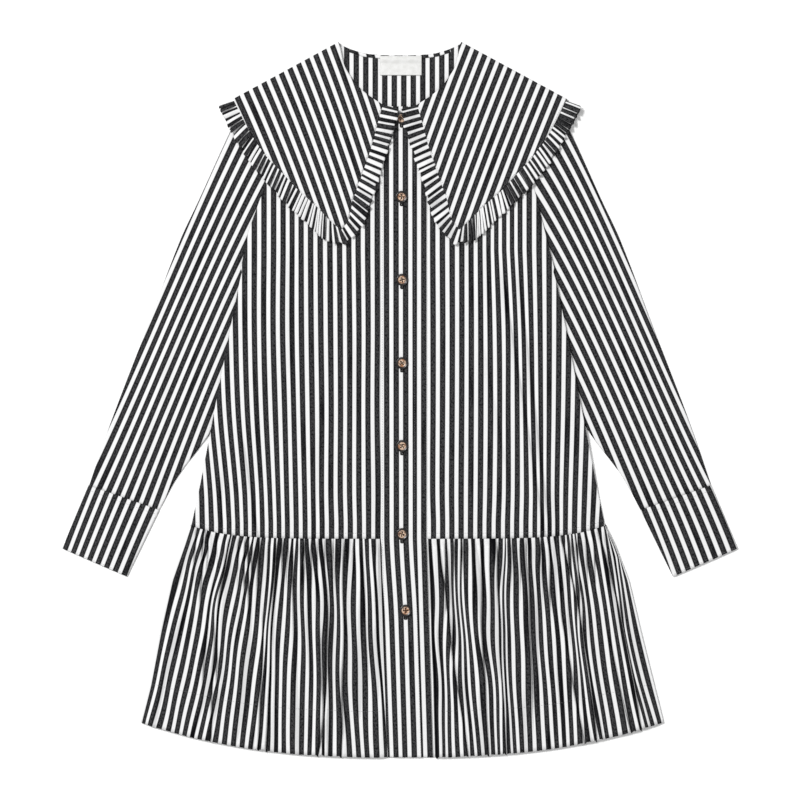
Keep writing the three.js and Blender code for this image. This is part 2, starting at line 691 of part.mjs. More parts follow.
function cuff(side) {
  const outerTop = sleeveOuterCurve[side](1);
  const innerTop = sleeveInnerCurve[side](1);
  const outerEnd = point(side, CUFF_OUTER);
  const innerEnd = point(side, CUFF_INNER);
  const down = outerEnd.clone().sub(outerTop).normalize().multiplyScalar(GAP);
  const rings = shares(3).map((v) => {
    const outer = outerTop.clone().add(down).lerp(outerEnd, v);
    const inner = innerTop.clone().add(down).lerp(innerEnd, v);
    const heights = {
      thick: CUFF_CLOTH,
      bottom: () => 0,
      top: (p, w) => 2 * CUFF_CLOTH + SLEEVE_HOLLOW + CUFF_PUFF * v * Math.sin(Math.PI * w),
    };
    return ring(inner, outer, heights, true);
  });
  return solidBetween(
    `cuff_${side}`,
    rings.map((r) => r.outside),
    rings.map((r) => r.inside),
    stripe(`cuff ${side}`, TRIM_SHADE),
    0,
  );
}

// Collar: one piece from the left front edge, over both shoulders, to the right front edge
const COLLAR_TOP = PLY + COLLAR_LAY + POPLIN / 2;
const FOLD_RADIUS = (COLLAR_TOP - POPLIN / 2) / 2;
const FOLD_SETBACK = FOLD_RADIUS + POPLIN / 2;
const FLAP_CELLS = 9;
const BACK_CELLS = 10;
const DEPTH_CELLS = 6;
const FOLD_STEPS = [Math.PI / 4, Math.PI / 2, (3 * Math.PI) / 4];

function foldFrame(side) {
  const neck = point(side, NECK_POINT);
  const along = point(side, COLLAR_CORNER).sub(neck).normalize();
  const inward = new THREE.Vector2(along.y, -along.x).multiplyScalar(SIDES[side]);
  const inset = (half) => point(side, half).addScaledVector(inward, FOLD_SETBACK);
  return { inward, foldLine: line(inset(NECK_POINT), inset(COLLAR_CORNER)) };
}

function flapEdges(side) {
  const { foldLine } = foldFrame(side);
  const seam = RUFFLE_SEAM.map((row) => point(side, row.seam));
  const frontEdge = curveThrough(seam.slice(0, POINT_ROW + 1));
  const outerEdge = curveThrough([...seam.slice(POINT_ROW, -1), foldLine(1)]);
  const neckEdge = curveThrough([
    frontEdge(0),
    ...FRONT_NECK.map((row) => point(side, row)),
    foldLine(0),
  ]);
  return { start: frontEdge, end: foldLine, top: neckEdge, bottom: outerEdge };
}

function collarMiddle() {
  const flap = { left: flapEdges('left'), right: flapEdges('right') };
  const fold = { left: foldFrame('left'), right: foldFrame('right') };
  const back = {
    start: fold.left.foldLine,
    end: fold.right.foldLine,
    top: curveThrough([fold.left.foldLine(0), ...mirrored(BACK_NECK), fold.right.foldLine(0)]),
    bottom: curveThrough([fold.left.foldLine(1), ...mirrored(BACK_COLLAR), fold.right.foldLine(1)]),
  };
  const flapPoint = (side, u, v) => {
    const p = patch(flap[side], u, v);
    return lift(p, collarLay(p) + POPLIN / 2);
  };
  const foldPoint = (side, angle, v) => {
    const p = fold[side].foldLine(v).addScaledVector(fold[side].inward, -FOLD_RADIUS * Math.sin(angle));
    return lift(p, POPLIN / 2 + FOLD_RADIUS + FOLD_RADIUS * Math.cos(angle));
  };
  return shares(DEPTH_CELLS).map((v) => [
    ...shares(FLAP_CELLS).map((u) => flapPoint('left', u, v)),
    ...FOLD_STEPS.map((angle) => foldPoint('left', angle, v)),
    ...shares(BACK_CELLS).map((u) => lift(patch(back, u, v), POPLIN / 2)),
    ...FOLD_STEPS.slice().reverse().map((angle) => foldPoint('right', angle, v)),
    ...shares(FLAP_CELLS).reverse().map((u) => flapPoint('right', u, v)),
  ]);
}

function topButtonClimb(place) {
  const away = place.distanceTo(new THREE.Vector2(BUTTONS[0].x, BUTTONS[0].y));
  const { height, full, end } = BUTTON_CLIMB;
  return height * (1 - ease((away - full) / (end - full)));
}

// The ruffle hangs from the collar's own edge points, front edge first, then the outer edge.
function ruffleFront(side, collarGrid) {
  const rows = collarGrid.length - 1;
  const width = collarGrid[0].length - 1;
  const column = (c) => (side === 'left' ? c : width - c);
  const seamPoints = [
    ...shares(rows).map((_, r) => collarGrid[r][column(0)]),
    ...shares(FLAP_CELLS).slice(1).map((_, c) => collarGrid[rows][column(c + 1)]),
  ];
  const walk = (points, from, to) => (share) => {
    const at = share * (to - from) + from;
    const i = Math.min(to - 1, Math.floor(at));
    return points[i].clone().lerp(points[i + 1], at - i);
  };
  const frontSeam = walk(seamPoints, 0, rows);
  const outerSeam = walk(seamPoints, rows, rows + FLAP_CELLS);
  const free = RUFFLE_SEAM.map((row) => point(side, row.free));
  const frontFree = curveThrough(free.slice(0, POINT_ROW + 1));
  const outerFree = curveThrough(free.slice(POINT_ROW));
  const stretches = [
    { seam: frontSeam, free: frontFree, waves: RUFFLE_WAVES.front },
    { seam: outerSeam, free: outerFree, waves: RUFFLE_WAVES.outer },
  ];
  const root = [];
  const edge = [];
  let wave = 0;
  stretches.forEach(({ seam, free: freeEdge, waves }, part) => {
    const cells = waves * COLUMNS_PER_WAVE;
    for (const s of shares(cells).slice(part === 0 ? 0 : 1)) {
      const seamAt = seam(s);
      const freeAt = freeEdge(s);
      const way = freeAt.clone().sub(new THREE.Vector2(seamAt.x, seamAt.y)).normalize();
      const turns = wave / COLUMNS_PER_WAVE;
      const stands = crest(turns) * uneven(Math.floor(turns), UNEVEN_STEP.ruffle);
      const start = new THREE.Vector2(seamAt.x, seamAt.y).addScaledVector(way, 1.6 * GAP);
      const climb = topButtonClimb(freeAt);
      root.push(lift(start, seamAt.z + RUFFLE_ROOT * crest(turns)));
      edge.push(lift(freeAt, seamAt.z + climb + RUFFLE_HEIGHT * stands));
      wave += 1;
    }
  });
  return wall(`ruffle_${side}`, [root, edge], POPLIN, stripe(`ruffle ${side}`, TRIM_SHADE));
}

// The back ruffle lies flattened beneath the garment.
function ruffleBack(collarGrid) {
  const rows = collarGrid.length - 1;
  const first = FLAP_CELLS + 1 + FOLD_STEPS.length;
  const seam = collarGrid[rows].slice(first, first + BACK_CELLS + 1);
  const plan = [0, 0.5, 1].map((share) => seam.map((p, i) => {
    const before = seam[Math.max(0, i - 1)];
    const after = seam[Math.min(BACK_CELLS, i + 1)];
    const way = new THREE.Vector2(after.y - before.y, before.x - after.x).normalize();
    const depth = THREE.MathUtils.lerp(GAP, BACK_RUFFLE_DEPTH, share);
    return new THREE.Vector2(p.x, p.y).addScaledVector(way, depth);
  }));
  return laidWall('ruffle_back', plan, () => 0, POPLIN, stripe('ruffle back', TRIM_SHADE));
}

// Back neck binding and label
function neckBinding() {
  const edge = curveThrough(mirrored(BACK_NECK));
  const alongNeck = (depth) => shares(NECK_CELLS.binding).map((s) => beside(edge, -depth)(s));
  const plan = [BINDING.setback, BINDING.wide].map(alongNeck);
  return laidWall('neck_binding', plan, (p) => backLay(p) + PLY, POPLIN, stripe('neck binding', TRIM_SHADE));
}

function neckLabel() {
  const rows = [
    { y: LABEL.top, climb: 1 },
    { y: LABEL.overBinding, climb: 1 },
    { y: LABEL.offBinding, climb: 0 },
    { y: LABEL.bottom, climb: 0 },
  ];
  const climbAt = new Map(rows.map((row) => [row.y, row.climb]));
  const columns = shares(NECK_CELLS.label).map((u) => THREE.MathUtils.lerp(LABEL.from, LABEL.to, u));
  const plan = rows.map((row) => columns.map((x) => new THREE.Vector2(x, row.y)));
  const lay = (p) => backLay(p) + PLY + PLY * climbAt.get(p.y);
  return laidWall('neck_label', plan, lay, POPLIN, stripe('woven label', LABEL_SHADE));
}

// Four-hole shirt buttons on the over band
function buttonShape() {
  const disc = new THREE.Shape();
  disc.absarc(0, 0, BUTTON.across / 2, 0, 2 * Math.PI, false);
  for (const quarter of [0, 1, 2, 3]) {
    const angle = Math.PI / 4 + (quarter * Math.PI) / 2;
    const reach = BUTTON.holeSpacing / Math.SQRT2;
    const corners = shares(BUTTON.holeSides).slice(1).map((s) => new THREE.Vector2(
      reach * Math.cos(angle) + (BUTTON.hole / 2) * Math.cos(2 * Math.PI * s),
      reach * Math.sin(angle) + (BUTTON.hole / 2) * Math.sin(2 * Math.PI * s),
    ));
    disc.holes.push(new THREE.Path(corners));
  }
  return disc;
}

function button(row, number) {
  const geometry = new THREE.ExtrudeGeometry(buttonShape(), {
    depth: BUTTON.thick,
    bevelEnabled: false,
    curveSegments: 8,
  });
  const shell = new THREE.MeshStandardMaterial({ color: BUTTON_SHADE, roughness: 0.25, metalness: 0 });
  shell.name = 'tortoiseshell button';
  const mesh = new THREE.Mesh(geometry, shell);
  const place = new THREE.Vector2(row.x, row.y);
  mesh.name = `button_${number}`;
  mesh.position.set(row.x, row.y, overBandLay(place) + PLY);
  return mesh;
}

const dress = new THREE.Group();
dress.name = 'shirt_dress';
const collarGrid = collarMiddle();
dress.add(bodiceBack());
dress.add(band('placket_under', UNDER_BAND, BAND_CELLS.under, (p) => backLay(p) + PLY));
dress.add(band('placket_over', OVER_BAND, BAND_CELLS.over, overBandLay));
dress.add(tierBack());
dress.add(wall('collar', collarGrid, POPLIN, stripe('collar', BODY_SHADE)));
dress.add(ruffleBack(collarGrid));
for (const side of Object.keys(SIDES)) {
  dress.add(bodiceFront(side));
  dress.add(tierFront(side));
  dress.add(sleeve(side));
  dress.add(cuff(side));
  dress.add(ruffleFront(side, collarGrid));
}
dress.add(neckBinding());
dress.add(neckLabel());
BUTTONS.forEach((row, i) => dress.add(button(row, i + 1)));

// The origin is on the table, under the middle of the lay.
dress.updateMatrixWorld(true);
const reach = new THREE.Box3().setFromObject(dress);
const centre = reach.getCenter(new THREE.Vector3());
dress.position.set(-centre.x, -centre.y, -reach.min.z);

export default dress;
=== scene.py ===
import logging
import math
import random
from collections.abc import Callable, Sequence
from dataclasses import dataclass, field
from enum import Enum

import bmesh
import bpy
import numpy as np
from mathutils import Matrix, Vector


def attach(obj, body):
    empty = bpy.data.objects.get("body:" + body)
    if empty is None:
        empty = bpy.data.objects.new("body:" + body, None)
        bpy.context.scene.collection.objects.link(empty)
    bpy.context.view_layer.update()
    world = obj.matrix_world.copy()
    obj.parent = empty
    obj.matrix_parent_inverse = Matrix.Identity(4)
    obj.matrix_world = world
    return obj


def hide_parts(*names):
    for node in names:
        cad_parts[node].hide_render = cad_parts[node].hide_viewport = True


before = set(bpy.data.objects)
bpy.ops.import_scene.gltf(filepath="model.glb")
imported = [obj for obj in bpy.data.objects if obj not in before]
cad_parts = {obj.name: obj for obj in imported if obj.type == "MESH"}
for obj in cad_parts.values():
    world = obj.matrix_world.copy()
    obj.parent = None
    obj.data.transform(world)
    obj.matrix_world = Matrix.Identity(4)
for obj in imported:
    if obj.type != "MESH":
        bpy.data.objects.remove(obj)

LOG = logging.getLogger("shirt_dress")
MM = 0.001
Array = np.ndarray
Edge = Callable[[Array], Array]

CLOTH = 1.0            # what the solids give one layer
GAP = 0.3
PLY = CLOTH + GAP
SLACK = 0.2
SHELL = 0.5            # thickness of the cloth that shows
BODY = "root"


class Side(Enum):
    """The wearer's halves as the photograph shows them."""

    LEFT = -1
    RIGHT = 1

    @property
    def label(self) -> str:
        """The side's word in piece names."""
        return self.name.lower()


class Held(Enum):
    """How a piece of cloth is held."""

    LAID = "laid"
    GATHERED = "gathered"
    FOLDED = "folded"


# Plane work

def ease(share: Array | float) -> Array:
    """Smooth step from 0 to 1."""
    held = np.clip(share, 0.0, 1.0)
    return held * held * (3.0 - 2.0 * held)


def lerp(start: Array | float, end: Array | float, share: Array | float) -> Array:
    """Straight mix of two values."""
    return start + (end - start) * share


def plane(points: Sequence[tuple[float, float]], side: Side) -> Array:
    """Half-outline points, given as distance out and height, set on one side."""
    return np.array([(side.value * out, y) for out, y in points], float)


class Curve:
    """A smooth curve through points, read by its share of length."""

    def __init__(self, points: Array) -> None:
        """Measure the chords and slopes.

        Args:
            points: plan points, one a row.
        """
        self.points = np.asarray(points, float)
        steps = np.linalg.norm(np.diff(self.points, axis=0), axis=1)
        self.along = np.concatenate([[0.0], np.cumsum(steps)])
        count = len(self.points)
        before = np.clip(np.arange(count) - 1, 0, count - 1)
        after = np.clip(np.arange(count) + 1, 0, count - 1)
        run = (self.along[after] - self.along[before])[:, None]
        self.slopes = (self.points[after] - self.points[before]) / run

    def __call__(self, share: Array | float) -> Array:
        """Points of the curve.

        Args:
            share: places from 0 to 1.

        Returns:
            One plan point a row.
        """
        at = np.clip(np.atleast_1d(share), 0.0, 1.0) * self.along[-1]
        i = np.clip(np.searchsorted(self.along, at, side="right") - 1, 0, len(self.points) - 2)
        run = self.along[i + 1] - self.along[i]
        t = (at - self.along[i]) / run
        mix = ease(t)[:, None]
        start_pull = self.slopes[i] * (run * t * (1 - t) ** 2)[:, None]
        end_pull = self.slopes[i + 1] * (run * t * t * (1 - t))[:, None]
        return self.points[i] * (1 - mix) + self.points[i + 1] * mix + start_pull - end_pull


def straight(start: Array, end: Array) -> Edge:
    """A straight edge between two plan points."""
    first, last = np.ravel(start), np.ravel(end)
    return lambda share: first + (last - first) * np.atleast_1d(share)[:, None]


def chain(parts: Sequence[tuple[float, Edge]]) -> Edge:
    """Edges joined end to end.

    Args:
        parts: each edge with its share of the reading.

    Returns:
        One edge.
    """
    def read(share: Array) -> Array:
        share = np.atleast_1d(share)
        out = np.empty((len(share), 2))
        start = 0.0
        for width, edge in parts:
            here = (share >= start - 1e-9)
            out[here] = edge(np.clip((share[here] - start) / width, 0.0, 1.0))
            start += width
        return out
    return read


def beside(curve: Edge, distance: float) -> Edge:
    """A curve moved sideways, to the left of its direction for a positive distance."""
    def read(share: Array) -> Array:
        share = np.atleast_1d(share)
        step = 0.004
        way = curve(np.minimum(1.0, share + step)) - curve(np.maximum(0.0, share - step))
        way /= np.linalg.norm(way, axis=1)[:, None]
        return curve(share) + np.stack([-way[:, 1], way[:, 0]], axis=1) * distance
    return read


@dataclass(frozen=True)
class Patch:
    """A patch of plan between four edges."""

    start: Edge
    end: Edge
    top: Edge
    bottom: Edge

    def __call__(self, u: Array, v: Array) -> Array:
        """Plan points at shares across and down."""
        across = lerp(self.start(v), self.end(v), u[:, None])
        down = lerp(self.top(u), self.bottom(u), v[:, None])
        ends = [edge(np.array([0.0, 1.0])) for edge in (self.top, self.bottom)]
        top = lerp(ends[0][0], ends[0][1], u[:, None])
        bottom = lerp(ends[1][0], ends[1][1], u[:, None])
        return across + down - lerp(top, bottom, v[:, None])


def nearest(stations: Array, place: Array) -> tuple[Array, Array, Array]:
    """Where places lie from a run of straight stretches.

    Args:
        stations: the run's points.
        place: plan points.

    Returns:
        Distance, signed distance with the left of the run as plus, and the length run so far.
    """
    best = np.full(len(place), np.inf)
    signed = np.zeros(len(place))
    run_at = np.zeros(len(place))
    so_far = 0.0
    last = len(stations) - 2
    for i in range(last + 1):
        run = stations[i + 1] - stations[i]
        length = float(np.hypot(*run))
        way = run / length
        off = place - stations[i]
        t = off @ way
        low = -np.inf if i == 0 else 0.0
        high = np.inf if i == last else length
        held = np.clip(t, low, high)
        gap = np.linalg.norm(off - held[:, None] * way, axis=1)
        closer = gap < best
        best = np.where(closer, gap, best)
        signed = np.where(closer, np.sign(way[0] * off[:, 1] - way[1] * off[:, 0]) * gap, signed)
        run_at = np.where(closer, so_far + held, run_at)
        so_far += length
    return best, signed, run_at


def outside(outline: Array, place: Array) -> Array:
    """Distance from places to a closed outline, zero inside it."""
    ring = np.vstack([outline, outline[:1]])
    inside = np.zeros(len(place), bool)
    away = np.full(len(place), np.inf)
    for a, b in zip(ring[:-1], ring[1:]):
        run = b - a
        t = np.clip(((place - a) @ run) / max(1e-9, float(run @ run)), 0.0, 1.0)
        away = np.minimum(away, np.linalg.norm(place - a - t[:, None] * run, axis=1))
        crosses = (a[1] > place[:, 1]) != (b[1] > place[:, 1])
        rise = b[1] - a[1] if b[1] != a[1] else 1e-9
        inside ^= crosses & (place[:, 0] < a[0] + (place[:, 1] - a[1]) / rise * (b[0] - a[0]))
    return np.where(inside, 0.0, away)


def through(stops: Array, values: Array, at: Array) -> Array:
    """Smooth run through values at rising stops, held level beyond them.

    Args:
        stops: rising places of the values.
        values: one row of numbers a stop.
        at: places that are read.

    Returns:
        One row of numbers a place.
    """
    count = len(stops)
    before = np.maximum(np.arange(count) - 1, 0)
    after = np.minimum(np.arange(count) + 1, count - 1)
    slopes = (values[after] - values[before]) / (stops[after] - stops[before])[:, None]
    held = np.clip(at, stops[0], stops[-1])
    i = np.clip(np.searchsorted(stops, held, side="right") - 1, 0, count - 2)
    run = stops[i + 1] - stops[i]
    t = (held - stops[i]) / run
    mix = ease(t)[:, None]
    pull = slopes[i] * (run * t * (1 - t) ** 2)[:, None] - slopes[i + 1] * (run * t * t * (1 - t))[:, None]
    return values[i] * (1 - mix) + values[i + 1] * mix + pull


@dataclass(frozen=True)
class Warp:
    """Where chosen threads of a panel run, given at a few levels down it."""

    levels: tuple[float, ...]
    threads: dict[float, tuple[float, ...]]

    def read(self, place: Array) -> Array:
        """Thread at each place, with level threads beyond the outermost ones."""
        order = sorted(self.threads)
        table = np.array([self.threads[thread][::-1] for thread in order]).T
        lines = through(np.array(self.levels[::-1]), table, place[:, 1])
        x = place[:, 0]
        out = x - lines[:, 0] + order[0]
        for k in range(len(order) - 1):
            share = (x - lines[:, k]) / (lines[:, k + 1] - lines[:, k])
            out = np.where(share >= 0, lerp(order[k], order[k + 1], np.minimum(share, 1.0)), out)
        return np.where(x > lines[:, -1], x - lines[:, -1] + order[-1], out)


@dataclass(frozen=True)
class Crease:
    """A soft ridge, or a trough where it is below nought, with a faint dip or swell beside it."""

    start: tuple[float, float]
    end: tuple[float, float]
    tall: float
    half: float
    fade_in: float = 0.3
    fade_out: float = 0.25

    def read(self, place: Array) -> Array:
        """Height added at places."""
        start, end = np.array(self.start), np.array(self.end)
        run = end - start
        t = ((place - start) @ run) / float(run @ run)
        foot = start + np.clip(t, 0.0, 1.0)[:, None] * run
        fade = ease(t / self.fade_in) * ease((1.0 + self.fade_out - t) / self.fade_out)
        off = np.linalg.norm(place - foot, axis=1) / self.half
        return self.tall * fade * (1.0 - 0.9 * off * off) * np.exp(-off * off)

    def shade(self, place: Array) -> Array:
        """Painted shade along the bottom of a trough, from 0 to 1."""
        start, run = np.array(self.start), np.array(self.end) - np.array(self.start)
        t = ((place - start) @ run) / float(run @ run)
        off = (run[0] * (place - start)[:, 1] - run[1] * (place - start)[:, 0]) / float(np.hypot(*run))
        fade = ease(t / self.fade_in) * ease((1.0 + self.fade_out - t) / self.fade_out)
        return min(0.85, max(0.0, -self.tall * 0.68)) * fade * np.exp(-(off / 3.2) ** 2)


def shaded(creases: Sequence[Crease], place: Array) -> Array:
    """The darkest painted crease shade at each place."""
    return np.maximum.reduce([crease.shade(place) for crease in creases])


def creased(creases: Sequence[Crease], place: Array) -> Array:
    """All creases' heights at places, summed."""
    return sum((crease.read(place) for crease in creases), np.zeros(len(place)))


@dataclass(frozen=True)
class Lay:
    """The garment's main lines on the table, and how its layers climb over each other."""

    neck_point: tuple[float, float] = (76.9, 446.9)
    collar_corner: tuple[float, float] = (208.8, 375.6)
    setback: float = 3.6
    back_neck: tuple = ((62.5, 438.1), (43.8, 432.5), (22.0, 430.4), (0.0, 430.0))
    front_neck: tuple = ((36.3, 377.8), (49.0, 387.9), (57.9, 398.1), (69.4, 417.3))
    armhole_y: tuple = (383, 325, 272, 245, 207, 164)
    armhole: dict = field(default_factory=lambda: {
        Side.LEFT: (187.5, 171, 165, 174, 187, 196), Side.RIGHT: (187.5, 171, 164, 170, 179, 190)})
    side_y: tuple = (164, 143, 0, -99, -157.5)
    side_seam: dict = field(default_factory=lambda: {
        Side.LEFT: (196, 201, 229, 248, 260.5), Side.RIGHT: (190, 196, 224.5, 244, 256)})
    sleeve_outer: tuple = ((187.5, 383), (211.3, 336.9), (252.6, 246.9), (275, 198.9), (319, 83),
                           (363.1, -32.6), (388.6, -107.1))
    sleeve_inner: tuple = ((173, 124), (191.3, 43.1), (235, -38.1), (277.5, -95.6), (300.9, -137.9))
    back_ruffle: tuple = ((204.0, 323.0), (179.0, 279.0), (118.0, 237.0), (0.0, 222.0))
    waist_y: float = -174.0
    waist_rise: float = 16.0
    waist_power: float = 6.0
    collar_slope: float = 80.0
    tuck_slope: float = 100.0
    tuck_height: float = 3.5
    ridge: float = 1.4
    band_top: float = 366.0
    band_swing: float = 8.0
    hem_y: float = -447.0
    outlines: dict = field(default_factory=dict)

    def __post_init__(self) -> None:
        """Draw the outlines that the heights are read from."""
        for side in Side:
            armhole = Curve(np.stack([side.value * np.array(self.armhole[side]), self.armhole_y], axis=1))
            seam = Curve(np.stack([side.value * np.array(self.side_seam[side]), self.side_y], axis=1))
            inner = Curve(np.vstack([armhole(1.0), plane(self.sleeve_inner, side)]))
            hidden = inner(np.linspace(0, 1, 13) * 0.66)
            over = seam(0.62 * (1 - np.linspace(0, 1, 5))) + np.array([side.value * 8.0, 0.0])
            self.outlines[side] = {
                "armhole": armhole, "seam": seam, "inner": inner,
                "outer": Curve(plane(self.sleeve_outer, side)),
                "tuck": np.vstack([hidden, over]), "stations": armhole(np.linspace(0, 1, 17)),
            }
        half = [self.neck_point, self.collar_corner, (228.0, 372.0), *self.back_ruffle]
        self.outlines["collar"] = self.mirrored(half)

    @staticmethod
    def mirrored(half: Sequence[tuple[float, float]]) -> Array:
        """A half outline that ends on the centre front, carried on to the other side."""
        return np.vstack([plane(half, Side.LEFT), plane(half, Side.RIGHT)[:-1][::-1]])

    def collar_lift(self, place: Array) -> Array:
        """Height that the back collar adds beneath what lies on it."""
        return PLY * (1 - ease(outside(self.outlines["collar"], place) / self.collar_slope))

    def back(self, place: Array) -> Array:
        """Height of the back panel's table side."""
        tuck = np.zeros(len(place))
        for side in Side:
            here = (place[:, 0] < 0) == (side is Side.LEFT)
            tuck[here] = 1 - ease(outside(self.outlines[side]["tuck"], place[here]) / self.tuck_slope)
        return self.collar_lift(place) + self.tuck_height * tuck

    def front(self, place: Array, side: Side) -> Array:
        """Height of the front panels' table side, without their creases."""
        away, _, _ = nearest(self.outlines[side]["stations"], place)
        return self.back(place) + PLY + SLACK + self.ridge * (1 - ease((away - 4.0) / 16.0))

    def collar(self, place: Array) -> Array:
        """Height of the collar flaps' underside."""
        return self.collar_lift(place) + 2 * PLY + SLACK + self.ridge

    def swing(self, y: Array | float) -> Array:
        """How far the placket has swung to the right at a height."""
        return self.band_swing * np.clip((self.waist_y - y) / (self.waist_y - self.hem_y), 0.0, 1.0)

    def over_band(self, place: Array) -> Array:
        """Height of the over band's table side."""
        climb = ease((place[:, 0] - self.swing(place[:, 1]) + 20.0) / 10.0)
        return self.back(place) + PLY + PLY * climb

    def set_back(self, side: Side, half: tuple[float, float]) -> Array:
        """A point of the shoulder line moved in under the collar's fold."""
        along = plane([self.collar_corner], side)[0] - plane([self.neck_point], side)[0]
        along /= np.hypot(*along)
        inward = np.array([along[1], -along[0]]) * side.value
        return plane([half], side)[0] + inward * self.setback

    def waist(self, x: Array) -> Array:
        """Points of the drop-waist seam."""
        half = np.where(x < 0, self.side_seam[Side.LEFT][-1], self.side_seam[Side.RIGHT][-1])
        y = self.waist_y + self.waist_rise * np.abs(x / half) ** self.waist_power
        return np.stack([x, y], axis=1)


LAY = Lay()


@dataclass(frozen=True)
class Placed:
    """Where a grid of cloth lies, and which thread of the cloth is there, all in millimetres."""

    plan: Array
    z: Array
    across: Array
    along: Array
    # painted shade in creases, folds and under edges, from 0 to 1
    shade: Array | float = 0.0


# Shader work

class Socket:
    """A node's output, with the sums that the finishes use."""

    def __init__(self, graph: "Graph", link: bpy.types.NodeSocket) -> None:
        """Hold one output of a graph."""
        self.graph = graph
        self.link = link

    def _sum(self, operation: str, *values: "Socket | float") -> "Socket":
        """Add a Math node over this socket's graph."""
        return self.graph.node("ShaderNodeMath", {"operation": operation}, dict(enumerate(values)))

    def __add__(self, other: "Socket | float") -> "Socket":
        """Sum."""
        return self._sum("ADD", self, other)

    __radd__ = __add__

    def __sub__(self, other: "Socket | float") -> "Socket":
        """Difference."""
        return self._sum("SUBTRACT", self, other)

    def __rsub__(self, other: float) -> "Socket":
        """Difference from a number."""
        return self._sum("SUBTRACT", other, self)

    def __mul__(self, other: "Socket | float") -> "Socket":
        """Product."""
        return self._sum("MULTIPLY", self, other)

    __rmul__ = __mul__

    def __truediv__(self, other: "Socket | float") -> "Socket":
        """Quotient."""
        return self._sum("DIVIDE", self, other)

    def __abs__(self) -> "Socket":
        """Size without sign."""
        return self._sum("ABSOLUTE", self)

    def fract(self) -> "Socket":
        """Part after the point."""
        return self._sum("FRACT", self)

    def floor(self) -> "Socket":
        """Whole part."""
        return self._sum("FLOOR", self)

    def sine(self) -> "Socket":
        """Sine."""
        return self._sum("SINE", self)

    def between(self, low: float, high: float) -> "Socket":
        """Smooth step from 0 at low to 1 at high."""
        settings = {"interpolation_type": "SMOOTHSTEP"}
        values = {"Value": self, "From Min": low, "From Max": high}
        return self.graph.node("ShaderNodeMapRange", settings, values)


class Graph:
    """A material's nodes, made one call at a time."""

    def __init__(self, name: str) -> None:
        """Start a material with a plain shader."""
        self.material = bpy.data.materials.new(name)
        self.material.use_nodes = True
        self.tree = self.material.node_tree
        self.shader = self.tree.nodes["Principled BSDF"]

    def node(self, kind: str, settings: dict, values: dict, out: int | str = 0) -> Socket:
        """Add a node.

        Args:
            kind: the node's type.
            settings: its own settings, set first.
            values: its sockets' values or links, by name or number.
            out: the output that is wanted.

        Returns:
            That output.
        """
        made = self.tree.nodes.new(kind)
        for name, value in settings.items():
            setattr(made, name, value)
        for name, value in values.items():
            self.put(made.inputs[name], value)
        return Socket(self, made.outputs[out])

    def put(self, socket: bpy.types.NodeSocket, value: "Socket | float | tuple") -> None:
        """Link or set one input."""
        if isinstance(value, Socket):
            self.tree.links.new(value.link, socket)
        else:
            socket.default_value = value

    def mix(self, share: Socket | float, first: "Socket | tuple", second: "Socket | tuple") -> Socket:
        """Mix two colours."""
        settings = {"data_type": "RGBA", "clamp_factor": True}
        return self.node("ShaderNodeMix", settings, {0: share, 6: first, 7: second}, 2)

    def noise(self, where: Socket, scale: float, detail: float = 2.0) -> Socket:
        """Noise about a half."""
        return self.node("ShaderNodeTexNoise", {}, {"Vector": where, "Scale": scale, "Detail": detail})

    def joined(self, x: Socket | float, y: Socket | float, z: Socket | float = 0.0) -> Socket:
        """A vector of three numbers."""
        return self.node("ShaderNodeCombineXYZ", {}, {0: x, 1: y, 2: z})

    def cloth(self) -> tuple[Socket, Socket]:
        """The cloth's own coordinates, across and along the warp, in metres."""
        place = self.node("ShaderNodeUVMap", {"uv_map": "cloth"}, {})
        split = {"Vector": place}
        across = self.node("ShaderNodeSeparateXYZ", {}, split, 0)
        return across, Socket(self, across.link.node.outputs[1])

    def here(self) -> Socket:
        """Object coordinates."""
        return self.node("ShaderNodeTexCoord", {}, {}, "Object")

    def finish(self, colour: "Socket | tuple", rough: "Socket | float", height: Socket | None,
               depth: float, **fixed: float | tuple) -> bpy.types.Material:
        """Wire the shader.

        Args:
            colour: base colour.
            rough: roughness.
            height: relief from 0 to 1, if it has any.
            depth: what 1 of that relief stands, in metres.
            fixed: the shader's other sockets, with blanks as underlines.

        Returns:
            The material.
        """
        self.put(self.shader.inputs["Base Color"], colour)
        self.put(self.shader.inputs["Roughness"], rough)
        for name, value in fixed.items():
            self.put(self.shader.inputs[name.replace("_", " ")], value)
        if height is not None:
            values = {"Height": height, "Strength": 1.0, "Distance": depth}
            self.put(self.shader.inputs["Normal"], self.node("ShaderNodeBump", {}, values))
        return self.material


